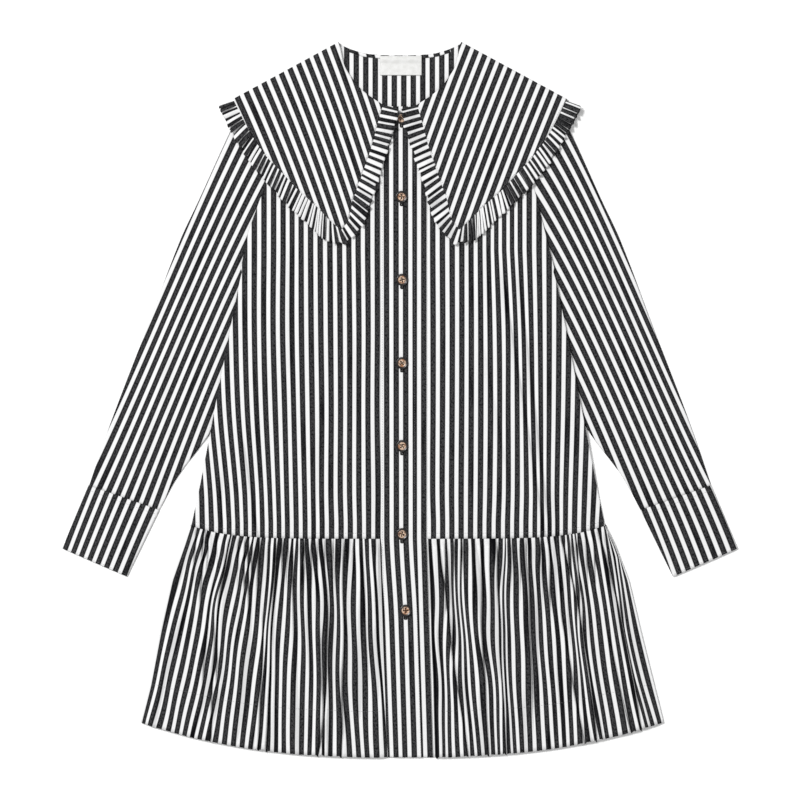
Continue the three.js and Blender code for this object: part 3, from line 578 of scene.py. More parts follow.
@dataclass(frozen=True)
class StripedPoplin:
    """Yarn-dyed cotton poplin: charcoal and white warp stripes, one white and grey weft, with painted crease shade on
    top.
    """

    name: str = "striped poplin"
    period: float = 11.875 * MM
    dark_share: float = 0.588
    edge: float = 0.045
    yarn: float = 0.25 * MM
    charcoal: tuple = (0.041, 0.041, 0.043, 1)
    coal: tuple = (0.002, 0.002, 0.003, 1)
    white: tuple = (0.765, 0.765, 0.765, 1)
    shade_white: tuple = (0.6, 0.6, 0.61, 1)
    roughness: float = 0.82

    def make(self) -> bpy.types.Material:
        """Build the material."""
        g = Graph(self.name)
        across, along = g.cloth()
        streaks = g.noise(g.joined(across * 2600.0, along * 260.0), 1.0, 3.0)
        wander = (streaks - 0.5) * (0.25 * MM)
        turn = ((across + wander) / self.period).fract()
        off = abs(turn - 0.5)
        half = self.dark_share / 2
        dark = 1.0 - off.between(half - self.edge, half + self.edge)
        warp = (across / self.yarn).fract()
        weft = (along / (self.yarn * 1.15)).fract()
        row = (along / (self.yarn * 1.15)).floor()
        column = (across / self.yarn).floor()
        over = abs(((row + column) * 0.5).fract() * 2.0)
        flecks = g.noise(g.joined(across * 5200.0 + along * 2100.0, along * 900.0), 1.0, 1.0)
        mottle = g.noise(g.joined(across * 620.0 + along * 220.0, along * 380.0), 1.0, 3.0)
        coal = g.mix((streaks * 0.3 + mottle * 0.7).between(0.4, 0.56), self.coal, self.charcoal)
        pale = g.mix(flecks.between(0.34, 0.5), self.shade_white, self.white)
        coal = g.mix(over * 0.01, coal, self.shade_white)
        coal = g.mix(off.between(half - 0.19, half - 0.04) * 0.9, coal, self.coal)
        # Painted crease shade: the 'deep' attribute and a soft noise streaked along the warp darken the charcoal
        # towards near black where creases and folds are shaded.
        deep = g.node("ShaderNodeAttribute", {"attribute_name": "deep"}, {}, "Fac")
        soft = g.noise(g.joined(across * 95.0, along * 12.0), 1.0, 2.0)
        coal = g.mix(deep + soft.between(0.55, 0.7) * 0.65, coal, self.coal)
        # Painted shade on the white stripes: grey only at the deepest part of a crease.
        painted_shade_on_white = deep * deep
        pale = g.mix(painted_shade_on_white * painted_shade_on_white * 0.8, pale, (0.05, 0.05, 0.055, 1))
        pale = g.mix(over * 0.12, pale, self.shade_white)
        colour = g.mix(dark, pale, coal)
        thread = ((warp * math.pi).sine() * over + (weft * math.pi).sine() * (1.0 - over))
        relief = thread * 0.8 + streaks * 0.4
        return g.finish(colour, self.roughness + (streaks - 0.5) * 0.12, relief, 0.04 * MM,
                        Sheen_Weight=0.006, Sheen_Roughness=0.5, Specular_IOR_Level=0.05)


@dataclass(frozen=True)
class WovenTape:
    """White satin-woven label tape."""

    name: str = "woven label tape"
    pick: float = 0.22 * MM

    def make(self) -> bpy.types.Material:
        """Build the material."""
        g = Graph(self.name)
        across, along = g.cloth()
        ribs = ((along / self.pick) * (2 * math.pi)).sine() * 0.5 + 0.5
        fine = ((across / (self.pick * 0.8)) * (2 * math.pi)).sine() * 0.5 + 0.5
        cloud = g.noise(g.joined(across * 160.0, along * 160.0), 1.0, 2.0)
        colour = g.mix(cloud.between(0.3, 0.7), (0.62, 0.62, 0.605, 1), (0.69, 0.69, 0.68, 1))
        colour = g.mix(ribs * 0.16, colour, (0.5, 0.5, 0.49, 1))
        return g.finish(colour, 0.5, ribs * 0.7 + fine * 0.3, 0.05 * MM, Sheen_Weight=0.05)


@dataclass(frozen=True)
class SewingThread:
    """Twisted polyester thread."""

    name: str
    shade: tuple
    twist: float = 0.35 * MM

    def make(self) -> bpy.types.Material:
        """Build the material."""
        g = Graph(self.name)
        place = g.here()
        x = g.node("ShaderNodeSeparateXYZ", {}, {"Vector": place}, 0)
        y = Socket(g, x.link.node.outputs[1])
        strands = (((x + y) / self.twist) * (2 * math.pi)).sine() * 0.5 + 0.5
        dark = tuple(0.55 * c for c in self.shade[:3]) + (1,)
        colour = g.mix(strands, dark, self.shade)
        return g.finish(colour, 0.6, strands, 0.06 * MM, Sheen_Weight=0.02, Specular_IOR_Level=0.15)


@dataclass(frozen=True)
class TortoiseResin:
    """Polished resin: a cream and amber middle with dark dots, and a near-black rim."""

    name: str = "tortoiseshell resin"
    cream: tuple = (0.60, 0.43, 0.31, 1)
    amber: tuple = (0.33, 0.15, 0.07, 1)
    brown: tuple = (0.06, 0.028, 0.018, 1)
    black: tuple = (0.008, 0.006, 0.006, 1)

    def make(self) -> bpy.types.Material:
        """Build the material."""
        g = Graph(self.name)
        place = g.here()
        cloud = g.noise(place, 190.0, 2.0)
        dots = g.noise(place, 560.0, 2.0)
        out = g.node("ShaderNodeAttribute", {"attribute_name": "rim"}, {}, "Fac")
        colour = g.mix(cloud.between(0.42, 0.56), self.amber, self.cream)
        colour = g.mix(1.0 - dots.between(0.42, 0.49), colour, self.brown)
        ragged = out + (dots - 0.5) * 0.35
        colour = g.mix(ragged.between(0.56, 0.74), colour, self.black)
        scratches = g.noise(place, 2600.0, 2.0)
        return g.finish(colour, 0.2 + scratches * 0.12, scratches, 0.008 * MM,
                        Coat_Weight=0.12, Coat_Roughness=0.35, IOR=1.45)


@dataclass(frozen=True)
class Table:
    """The pale floor that the garment lies on."""

    name: str = "pale floor"
    shade: tuple = (0.92, 0.92, 0.92, 1)

    def make(self) -> bpy.types.Material:
        """Build the material."""
        g = Graph(self.name)
        cloud = g.noise(g.here(), 3.0, 2.0)
        colour = g.mix(cloud, tuple(0.985 * c for c in self.shade[:3]) + (1,), self.shade)
        return g.finish(colour, 0.9, None, 0.0, Specular_IOR_Level=0.1)


# Making pieces

class Workroom:
    """Makes mesh objects, gives them their finish and hides the solids that they replace."""

    def __init__(self) -> None:
        """Make the finishes."""
        self.poplin = StripedPoplin().make()
        self.tape = WovenTape().make()
        self.resin = TortoiseResin().make()
        self.grey_thread = SewingThread("grey thread", (0.22, 0.22, 0.23, 1)).make()
        self.dark_thread = SewingThread("charcoal thread", (0.01, 0.009, 0.009, 1)).make()
        self.white_thread = SewingThread("white thread", (0.8, 0.8, 0.79, 1)).make()

    @staticmethod
    def shape(name: str, bm: bmesh.types.BMesh, finish: bpy.types.Material) -> bpy.types.Object:
        """Turn a bmesh into a smooth object with one finish."""
        mesh = bpy.data.meshes.new(name)
        bm.to_mesh(mesh)
        bm.free()
        mesh.materials.append(finish)
        mesh.shade_smooth()
        piece = bpy.data.objects.new(name, mesh)
        bpy.context.scene.collection.objects.link(piece)
        return piece

    def cloth(self, name: str, cells: tuple[int, int], place: Callable[[Array, Array], Placed],
              flip: bool = False, weld: bool = False, shell: float = SHELL,
              finish: bpy.types.Material | None = None) -> bpy.types.Object:
        """Lay a grid of cloth.

        Args:
            name: the piece's name.
            cells: grid cells across and down.
            place: gives the middle of the cloth for shares across and down.
            flip: turn the faces over, for a grid that runs the other way.
            weld: merge the points that meet, as along a tube's seam.
            shell: thickness in millimetres.
            finish: the finish, poplin by default.

        Returns:
            The piece, a thin shell.
        """
        bm = bmesh.new()
        bmesh.ops.create_grid(bm, x_segments=cells[0], y_segments=cells[1], size=0.5)
        piece = self.shape(name, bm, finish or self.poplin)
        mesh = piece.data
        flat = np.empty(len(mesh.vertices) * 3)
        mesh.vertices.foreach_get("co", flat)
        flat = flat.reshape(-1, 3)
        laid = place(np.clip(flat[:, 0] + 0.5, 0, 1), np.clip(0.5 - flat[:, 1], 0, 1))
        spots = np.column_stack([laid.plan, laid.z]) * MM
        mesh.vertices.foreach_set("co", spots.ravel())
        corner = np.empty(len(mesh.loops), np.int32)
        mesh.loops.foreach_get("vertex_index", corner)
        threads = np.stack([laid.across, laid.along], axis=1)[corner] * MM
        layer = mesh.uv_layers.new(name="cloth")
        layer.data.foreach_set("uv", threads.ravel())
        # The painted shade goes onto the 'deep' point attribute that the poplin darkens by.
        if np.any(laid.shade):
            mesh.attributes.new("deep", "FLOAT", "POINT").data.foreach_set("value", laid.shade)
        if flip:
            mesh.flip_normals()
        if weld:
            bm = bmesh.new()
            bm.from_mesh(mesh)
            bmesh.ops.remove_doubles(bm, verts=bm.verts, dist=0.02 * MM)
            bm.to_mesh(mesh)
            bm.free()
        mesh.update()
        wall = piece.modifiers.new("cloth thickness", "SOLIDIFY")
        wall.thickness = shell * MM
        wall.offset = 0.0
        return piece

    @staticmethod
    def dress(piece: bpy.types.Object, slot: str, nodes: Sequence[str] = ()) -> bpy.types.Object:
        """Ride a piece on the garment, in place of its solids."""
        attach(piece, BODY)
        if nodes:
            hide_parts(*nodes)
        LOG.info("%s: %d points", piece.name, len(piece.data.vertices))
        return piece


class Stitches:
    """Rows of stitches gathered into one piece."""

    def __init__(self, name: str, length: float = 2.5, thick: float = 0.34, space: float = 0.7) -> None:
        """Start a piece of sewing.

        Args:
            name: the piece's name.
            length: one stitch.
            thick: the thread.
            space: between stitches.
        """
        self.name = name
        self.length = length
        self.thick = thick
        self.space = space
        self.bm = bmesh.new()

    def stitch(self, start: Array, end: Array) -> None:
        """Set one stitch between two places."""
        first, last = Vector(start), Vector(end)
        run = last - first
        turn = run.to_track_quat("X", "Z").to_matrix().to_4x4()
        size = Matrix.Diagonal((run.length / 2, self.thick / 2, self.thick / 2, 1))
        place = Matrix.Scale(MM, 4) @ Matrix.Translation((first + last) / 2) @ turn @ size
        bmesh.ops.create_icosphere(self.bm, subdivisions=1, radius=1.0, matrix=place)

    def row(self, points: Array) -> None:
        """Sew along a run of places.

        Args:
            points: places in three dimensions, in millimetres.
        """
        steps = np.linalg.norm(np.diff(points, axis=0), axis=1)
        along = np.concatenate([[0.0], np.cumsum(steps)])
        count = max(1, int(along[-1] / (self.length + self.space)))
        pitch = along[-1] / count
        starts = np.arange(count) * pitch + self.space / 2
        for at in starts:
            ends = np.array([at, at + pitch - self.space])
            spots = np.stack([np.interp(ends, along, points[:, k]) for k in range(3)], axis=1)
            self.stitch(spots[0], spots[1])

    def done(self, finish: bpy.types.Material) -> bpy.types.Object:
        """Close the piece."""
        return Workroom.shape(self.name, self.bm, finish)


# Gathers and folds

@dataclass(frozen=True)
class Line:
    """The run of a fold from the seam down the cloth.

    seam, middle and hem are where it shows, start and end the shares of depth where it opens and dies out.
    """

    seam: float
    middle: float
    hem: float
    start: float = 0.0
    end: float = 1.4

    def at(self, depth: Array | float) -> Array | float:
        """Where it shows at a share of depth."""
        mid = 0.46
        a = (depth - mid) * (depth - 1) / mid
        b = depth * (depth - 1) / (mid * (mid - 1))
        c = depth * (depth - mid) / (1 - mid)
        return self.seam * a + self.middle * b + self.hem * c

    def strength(self, depth: Array | float) -> Array | float:
        """How far it is open at a share of depth, from 0 to 1."""
        rise = 1.0 if self.start <= 0 else ease((depth - self.start) / 0.16)
        return rise * ease((self.end - depth) / 0.3)


@dataclass(frozen=True)
class Crevice(Line):
    """A sharp valley between two rounded folds: how tall they stand, and its half width."""

    tall: float = 3.0
    half: float = 1.8
    lean: float = 0.0

    def relief(self, x: Array, depth: Array) -> Array:
        """Height that the folds and the valley between them add."""
        off = x - self.at(depth)
        shoulder = np.exp(-(off / (3.6 * self.half)) ** 2)
        valley = np.exp(-((off - self.lean * np.abs(off)) / self.half) ** 2)
        return self.tall * self.strength(depth) * (1.1 * shoulder - 2.5 * valley)

    def shade(self, x: Array, depth: Array) -> Array:
        """Painted shade along the bottom of the valley, from 0 to 1."""
        off = (x - self.at(depth)) / (1.2 * self.half)
        return min(1.0, self.tall / 1.8) * self.strength(depth) * np.exp(-off * off)

    def pinch(self, x: Array, depth: Array) -> Array:
        """How far the cloth beside the valley is drawn towards it."""
        off = x - self.at(depth)
        return -0.55 * off * self.strength(depth) * np.exp(-(off / (1.6 * self.half)) ** 2)


@dataclass(frozen=True)
class Fold(Line):
    """A fold that lies over on itself: the cloth that it swallows at the seam and at the hem, and its height."""

    hides: float = 7.0
    hides_hem: float = 6.0
    tall: float = 2.4
    lean: int = 1

    def hidden(self, depth: float) -> float:
        """Cloth swallowed at a share of depth."""
        return float(lerp(self.hides, self.hides_hem, min(1.0, depth)) * self.strength(depth))


@dataclass(frozen=True)
class Pleated:
    """A width of cloth held in folds along a seam."""

    folds: Sequence[Fold]
    cloth: float

    def row(self, threads: Array, depth: float, start: float, end: float) -> tuple[Array, Array]:
        """Lay one row of the cloth.

        Args:
            threads: places across the cloth, from 0 to its width.
            depth: share of depth of this row.
            start: where the row starts.
            end: where it ends.

        Returns:
            Where each thread lies along the row, and its height before scaling.
        """
        span = abs(end - start)
        sign = 1.0 if end > start else -1.0
        ranked = sorted(self.folds, key=lambda fold: sign * fold.at(depth))
        hidden = np.array([fold.hidden(depth) for fold in ranked])
        scale = span / (self.cloth - hidden.sum())
        moved = np.zeros_like(threads)
        keys, heights = [0.0], [0.3]
        so_far = 0.0
        for fold, hides in zip(ranked, hidden):
            shown = np.clip(sign * (fold.at(depth) - start), 1.0, span - 1.0)
            centre = shown / scale + so_far + hides / 2
            wide = max(1.2, hides * 0.82)
            moved += hides * ease((threads - centre) / wide + 0.5)
            so_far += hides
            if hides > 0.05:
                lean = fold.lean * sign
                tall = fold.tall * min(1.0, hides / 4.0)
                before, after = (tall, 0.1 * tall) if lean > 0 else (0.1 * tall, tall)
                first = max(keys[-1] + 0.2, centre - wide / 2)
                keys += [first, max(first + 0.4, centre + wide / 2)]
                heights += [before, after]
        keys.append(max(self.cloth, keys[-1] + 0.2))
        heights.append(0.3)
        keys_at, tall_at = np.array(keys), np.array(heights)
        i = np.clip(np.searchsorted(keys_at, threads, side="right") - 1, 0, len(keys_at) - 2)
        t = (threads - keys_at[i]) / (keys_at[i + 1] - keys_at[i])
        height = lerp(tall_at[i], tall_at[i + 1], ease(t))
        return start + sign * scale * (threads - moved), height


def gathers(seed: int, start: float, end: float, pitch: float, hides: tuple[float, float],
            ends: tuple[float, float], tall: tuple[float, float]) -> list[Fold]:
    """Uneven small gathers between the folds that are listed.

    Args:
        seed: fixes the unevenness.
        start: where they start along the seam.
        end: where they end.
        pitch: mean distance between them.
        hides: least and most cloth that one takes.
        ends: least and most share of depth that one reaches.
        tall: least and most height.

    Returns:
        The gathers.
    """
    pick = random.Random(seed)
    count = max(1, int(abs(end - start) / pitch))
    made = []
    for i in range(count):
        at = lerp(start, end, (i + pick.uniform(0.2, 0.8)) / count)
        drift = pick.uniform(-3.0, 3.0)
        reach = ends[0] + (ends[1] - ends[0]) * pick.random() ** 2
        made.append(Fold(at, at + drift, at + 2 * drift, 0.0, reach, pick.uniform(*hides),
                         pick.uniform(*hides) * 0.7, pick.uniform(*tall), pick.choice((-1, 1))))
    return made


# The garment's pieces

@dataclass
class Bodice:
    """The two front panels and the back panel."""

    room: Workroom
    armhole_lap: float = 2.5
    neck_turning: float = 2.0
    over_band: float = -23.8
    under_band: float = 34.1
    armhole_share: float = 7 / 15
    neck_share: float = 0.36
    billow: float = 1.2
    front_cells: tuple[int, int] = (200, 120)
    back_cells: tuple[int, int] = (80, 90)
    warp: dict = field(default_factory=lambda: {
        Side.LEFT: Warp((187, 87, -13, -113, -153), {
            -267.19: (-264, -260, -254.5, -247.8, -246.9), -243.44: (-241, -239.5, -236, -226.6, -224.1),
            -219.69: (-217.5, -217, -213.6, -204.8, -202.8), -195.94: (-193.8, -193.4, -190.6, -183.6, -182.4),
            -172.19: (-169.8, -170.1, -167.7, -162.8, -161.3), -148.44: (-145.8, -146.6, -143.9, -141.7, -140.8),
            -124.69: (-123.6, -123.1, -121.6, -119.1, -118.4), -100.94: (-99.7, -98.9, -97.6, -98.1, -97.4),
            -77.19: (-75.4, -74.6, -74.2, -74.6, -73.5), -53.44: (-52.4, -51.2, -51.4, -51.4, -50.6),
            -29.69: (-28.4, -28.3, -28.8, -27.4, -27.8)}),
        Side.RIGHT: Warp((187, 87, -13, -113, -153), {
            29.69: (29.0, 29.4, 29.6, 29.2, 30.5), 53.44: (52.9, 53.4, 53.1, 52.6, 53.3),
            77.19: (77.3, 77.3, 77.0, 76.3, 76.3), 100.94: (100.2, 100.9, 100.9, 100.4, 99.9),
            112.81: (110.6, 112.4, 113.1, 112.1, 111.1), 124.69: (120.2, 123.7, 124.8, 124.2, 122.8),
            136.56: (130.1, 134.9, 134.8, 135.3, 134.4), 148.44: (139.9, 144.6, 146.6, 146.4, 145.6),
            160.31: (149.6, 154.0, 156.2, 158.1, 157.3), 172.19: (161.2, 163.7, 165.7, 168.9, 168.7),
            195.94: (186.0, 186.1, 185.9, 185.3, 186.8), 219.69: (210.8, 210.8, 209.4, 206.9, 206.4),
            243.44: (235, 234.5, 233.5, 230.7, 229.5), 267.19: (259, 258, 257, 254, 251.4)}),
    })
    creases: dict = field(default_factory=lambda: {
        Side.RIGHT: (
            Crease((120, 205), (181, -168), -1.5, 5.5, 0.2), Crease((142, 205), (187.5, -168), -1.2, 5.0, 0.2),
            Crease((98, 100), (131, -75), -0.9, 6.5, 0.3, 0.4), Crease((80, 215), (92, 130), -0.7, 7, 0.3, 0.4),
            Crease((110, 200), (111, 130), -0.8, 6, 0.3, 0.4), Crease((190, -80), (196, -172), -0.8, 5.5, 0.5),
            Crease((228, -70), (250, -172), -0.9, 8, 0.5), Crease((62, 150), (70, -60), 0.6, 12, 0.4, 0.5),
            Crease((152, 60), (180, -168), 1.2, 11, 0.4),
        ),
        Side.LEFT: (
            Crease((-137, 205), (-135, 40), -0.8, 6, 0.3, 0.4), Crease((-63.5, 140), (-50, -30), -0.8, 6.5, 0.4, 0.4),
            Crease((-96, 10), (-107.5, -170), -0.9, 6.5, 0.4), Crease((-171, 150), (-168, 100), -0.9, 6, 0.4, 0.4),
            Crease((-206, 140), (-214, 30), -0.8, 6.5, 0.3, 0.4), Crease((-201, -20), (-178, -168), -1.2, 6.5, 0.3),
            Crease((-221, -60), (-224, -172), -1.0, 6, 0.4), Crease((-30, -60), (-29, -172), -0.8, 6, 0.4),
            Crease((-148, -40), (-142, -172), 0.8, 13, 0.4), Crease((-88, -40), (-96, -172), 0.7, 13, 0.4),
        ),
    })

    def edge(self, side: Side, armhole_out: float, seam_out: float) -> Edge:
        """Armhole and side seam of a panel, moved outward."""
        lines = LAY.outlines[side]
        turn = side.value
        return chain([(self.armhole_share, beside(lines["armhole"], turn * armhole_out)),
                      (1 - self.armhole_share, beside(lines["seam"], turn * seam_out))])

    def height(self, plan: Array, side: Side) -> Array:
        """Height of the middle of a front panel's cloth, with its billow and creases."""
        lines = LAY.outlines[side]
        seam = lines["seam"](np.linspace(0, 1, 9))
        _, from_armhole, _ = nearest(lines["stations"], plan)
        side_x = np.interp(-plan[:, 1], -seam[:, 1], seam[:, 0])
        band = self.over_band if side is Side.LEFT else self.under_band
        free = ease((side_x - plan[:, 0]) * side.value / 26) * ease((plan[:, 0] - band) * side.value / 14)
        free = free * ease((plan[:, 1] - LAY.waist(plan[:, 0])[:, 1]) / 26)
        free = free * np.where(plan[:, 1] > LAY.armhole_y[-1], ease(np.abs(from_armhole) / 24), 1.0)
        return LAY.front(plan, side) + CLOTH / 2 + free * (self.billow + creased(self.creases[side], plan))

    def front(self, side: Side) -> bpy.types.Object:
        """Lay one front panel."""
        band = self.over_band if side is Side.LEFT else self.under_band
        outer = self.edge(side, self.armhole_lap, 0.0)
        turned = [(out + self.neck_turning, y - self.neck_turning) for out, y in LAY.front_neck]
        point = (LAY.neck_point[0] + self.neck_turning, LAY.neck_point[1] - self.neck_turning)
        neck = Curve(np.vstack([[band, LAY.band_top], plane(turned, side), LAY.set_back(side, point)]))
        low = outer(np.array([1.0]))[0, 0]
        patch = Patch(
            straight(np.array([band, LAY.band_top]), LAY.waist(np.array([band]))),
            outer,
            chain([(self.neck_share, neck), (1 - self.neck_share, straight(neck(1.0), outer(0.0)))]),
            lambda u: LAY.waist(lerp(band, low, u)),
        )

        def place(u: Array, v: Array) -> Placed:
            plan = patch(u, v)
            rolled = 0.35 * (1 - ease((1 - u) * 60)) * (v < 0.999)
            # The last value is the painted shade along the troughs of the creases.
            return Placed(plan, self.height(plan, side) - rolled, self.warp[side].read(plan), plan[:, 1],
                          shaded(self.creases[side], plan))

        name = f"bodice_front_{side.label}"
        piece = self.room.cloth(f"{name}_cloth", self.front_cells, place, flip=side is Side.LEFT)
        self.room.dress(piece, "poplin", [name])
        return piece

    def back(self) -> bpy.types.Object:
        """Lay the back panel, whose inside shows in the neck."""
        start, end = self.edge(Side.LEFT, -1.6, -0.8), self.edge(Side.RIGHT, -1.6, -0.8)
        neck = [LAY.set_back(side, LAY.neck_point) for side in Side]
        line = Curve(np.vstack([neck[0], LAY.mirrored(LAY.back_neck), neck[1]]))
        low = [edge(np.array([1.0]))[0, 0] for edge in (start, end)]
        patch = Patch(start, end, chain([
            (0.3, straight(start(0.0), neck[0])), (0.4, line), (0.3, straight(neck[1], end(0.0))),
        ]), lambda u: LAY.waist(lerp(low[0], low[1], u)) + np.array([0.0, 0.8]))

        def place(u: Array, v: Array) -> Placed:
            plan = patch(u, v)
            return Placed(plan, LAY.back(plan) + CLOTH / 2, plan[:, 0] + 1.2, plan[:, 1])

        piece = self.room.cloth("bodice_back_cloth", self.back_cells, place)
        self.room.dress(piece, "poplin", ["bodice_back"])
        return piece


@dataclass
class Placket:
    """The over band with the buttonholes, and the under band that carries the buttons."""

    room: Workroom
    over: tuple[float, float] = (-23.8, 20.0)
    under: tuple[float, float] = (-6.0, 34.0)
    slip: tuple[float, float, float] = (0.7, 1.5, 2.6)
    cells: tuple[int, int] = (34, 230)

    def over_threads(self, x: Array, y: Array) -> Array:
        """Threads of the over band, which slips to the right on its way down."""
        down = np.clip((LAY.band_top - y) / (LAY.band_top - LAY.waist_y), 0, 1)
        below = LAY.swing(y) / LAY.band_swing
        slip = lerp(self.slip[0], self.slip[1], down) + self.slip[2] * ease(below * 2.6)
        return x - slip - 1.5 * below * np.clip(-x / 20.0, 0, 1)

    def band(self, name: str, edges: tuple[float, float], lay: Callable[[Array], Array],
             threads: Callable[[Array, Array], Array]) -> bpy.types.Object:
        """Lay one band from the neck to the hem."""
        def place(u: Array, v: Array) -> Placed:
            y = lerp(LAY.band_top, LAY.hem_y, v)
            x = lerp(edges[0], edges[1], u)
            plan = np.stack([x + LAY.swing(y), y], axis=1)
            rolled = 0.3 * (1 - ease((edges[1] - x) / 1.4))
            wave = 0.12 * np.sin(y / 17.0 + x / 9.0)
            return Placed(plan, lay(plan) + CLOTH / 2 + wave - rolled, threads(x, y), y)

        piece = self.room.cloth(f"{name}_cloth", self.cells, place, shell=0.7)
        self.room.dress(piece, "poplin_trim", [name])
        return piece

    def build(self) -> None:
        """Lay both bands."""
        self.band("placket_under", self.under, lambda p: LAY.back(p) + PLY, lambda x, y: x)
        self.band("placket_over", self.over, LAY.over_band, self.over_threads)


@dataclass
class Tier:
    """The gathered skirt tier below the drop-waist seam."""

    room: Workroom
    hem_rise: float = 44.0
    hem_power: float = 2.5
    side_y: tuple = (-158, -182, -226, -290, -358, -403)
    side_out: dict = field(default_factory=lambda: {
        Side.LEFT: (262, 270, 286, 300, 312.5, 324), Side.RIGHT: (257.5, 269, 286, 301, 318, 329.4)})
    cloth_width: dict = field(default_factory=lambda: {Side.LEFT: 360.0, Side.RIGHT: 380.0})
    first_thread: dict = field(default_factory=lambda: {Side.LEFT: 10.0, Side.RIGHT: 5.0})
    inner: dict = field(default_factory=lambda: {Side.LEFT: -23.8, Side.RIGHT: 34.1})
    cells: tuple[int, int] = (540, 66)
    back_cells: tuple[int, int] = (420, 34)
    tuck_under: float = 1.6
    lift: float = 2.8
    bite: float = 1.2
    small_pitch: float = 9.0
    crowding: float = 1.5
    levels: tuple = (-181.9, -250.6, -300.6, -350.6, -400.6)
    stripes: dict = field(default_factory=lambda: {
        Side.LEFT: (
            (-33.1, -29.5, -27.4, -23.5, -19.9), (-49.0, -46.9, -45.8, -44.1, -42.3),
            (-66.0, -68.6, -68.6, -68.0, -65.5), (-88.8, -85.5, -85.8, -86.1, -86.8),
            (-108.0, -102.5, -101.9, -102.3, -103.0), (-122.9, -121.8, -121.4, -121.8, -121.9),
            (-134.4, -139.6, -141.4, -143.5, -145.0), (-150.8, -157.0, -160.5, -162.5, -164.1),
            (-163.1, -166.3, -171.8, -176.9, -182.3), (-178.3, -187.3, -193.3, -199.3, -204.9),
            (-191.0, -203.9, -212.3, -219.0, -226.5), (-208.9, -224.4, -229.1, -234.5, -245.3),
            (-220.3, -236.0, -243.9, -253.8, -265.0), (-241.9, -256.8, -265.8, -275.8, -287.0),
            (-256.4, -274.8, -286.5, -298.1, -310.3)),
        Side.RIGHT: (
            (37.8, 42.0, 42.5, 45.1, 46.1), (57.6, 59.4, 61.0, 60.9, 61.3), (70.6, 70.6, 73.8, 76.3, 79.8),
            (82.3, 83.3, 86.0, 90.4, 95.3), (102.5, 105.3, 106.5, 112.3, 114.5), (126.3, 123.8, 125.3, 128.0, 128.9),
            (135.3, 134.8, 135.6, 138.3, 141.3), (152.5, 156.1, 158.0, 159.5, 161.6),
            (171.3, 174.0, 176.5, 179.9, 183.1), (186.1, 192.8, 197.5, 201.1, 203.8),
            (205.0, 211.3, 216.3, 220.0, 223.0), (215.6, 223.0, 226.3, 233.0, 240.3),
            (225.3, 234.8, 240.0, 246.5, 255.4), (243.1, 255.0, 261.5, 269.0, 277.6),
            (259.4, 271.0, 279.3, 288.5, 298.8), (270.6, 280.0, 288.1, 299.4, 314.8)),
    })
    crevices: dict = field(default_factory=lambda: {
        Side.LEFT: (
            Crevice(-31, -27.5, -12.5, tall=2.0), Crevice(-71, -70, -73.8, tall=2.4),
            Crevice(-98.8, -90, -102.5, tall=3.0, half=2.1), Crevice(-133.8, -133, -133, end=0.55, tall=2.4),
            Crevice(-154.4, -160, -167.5, tall=2.8, lean=0.3), Crevice(-188.8, -189, -190, end=0.5, tall=2.4),
            Crevice(-210.4, -227.5, -220, end=0.85, tall=2.8), Crevice(-242.5, -250, -256, end=0.5, tall=2.2),
            Crevice(-47.5, -42, -37.5, end=0.8, tall=1.5), Crevice(-80, -81, -82, end=0.35, tall=1.8),
            Crevice(-118.8, -119, -119, end=0.4, tall=1.8), Crevice(-176.2, -178, -180, end=0.4, tall=1.8),
            Crevice(-218.8, -240, -246, start=0.15, end=0.9, tall=1.5), Crevice(-165, -171, -176, start=0.3, tall=1.8),
            Crevice(-224, -231, -236, start=0.35, tall=1.6), Crevice(-96, -98, -95, start=0.35, tall=1.6),
            Crevice(-58, -58, -58, end=0.3, tall=1.6), Crevice(-146, -147, -148, end=0.35, tall=1.7),
            Crevice(-201, -204, -206, end=0.35, tall=1.7), Crevice(-229, -236, -240, end=0.3, tall=1.6),
        ),
        Side.RIGHT: (
            Crevice(38.8, 42.5, 46.2, tall=2.2), Crevice(46.2, 64, 86, tall=2.6, lean=0.3),
            Crevice(103.8, 104, 111, tall=2.8, half=2.1), Crevice(120.8, 126, 132.5, tall=2.6),
            Crevice(161.2, 163, 170, end=0.95, tall=2.4), Crevice(187.5, 189, 190, end=0.5, tall=2.4),
            Crevice(200, 228, 245.6, tall=3.0, half=2.1), Crevice(245.8, 278, 302, tall=2.8, lean=-0.3),
            Crevice(190, 206, 231, start=0.3, tall=2.2), Crevice(56.2, 57, 58, end=0.35, tall=1.8),
            Crevice(78.8, 80, 82, end=0.35, tall=1.8), Crevice(137.5, 139, 140, end=0.4, tall=1.8),
            Crevice(150, 152, 154, end=0.35, tall=1.7), Crevice(175, 177, 179, end=0.35, tall=1.8),
            Crevice(218.8, 228, 232, end=0.3, tall=1.8), Crevice(231.2, 240, 246, end=0.35, tall=1.7),
            Crevice(92, 92, 92, end=0.3, tall=1.6), Crevice(236, 258, 288, start=0.45, tall=1.7),
        ),
    })

    def hem(self, x: Array) -> Array:
        """Points of the hem."""
        half = np.where(x < 0, self.side_out[Side.LEFT][-1], self.side_out[Side.RIGHT][-1])
        y = LAY.hem_y + self.hem_rise * np.abs(x / half) ** self.hem_power
        return np.stack([x, y], axis=1)

    def seam_y(self, x: Array, side: Side) -> Array:
        """Height on the lay of the drop-waist seam, carried level past the side seam."""
        held = np.minimum(np.abs(x), LAY.side_seam[side][-1]) * side.value
        return LAY.waist(held)[:, 1]

    def side_edge(self, side: Side, inset: float = 0.0) -> Edge:
        """The tier's outer edge."""
        out = side.value * (np.array(self.side_out[side]) - inset)
        return Curve(np.stack([out, self.side_y], axis=1))

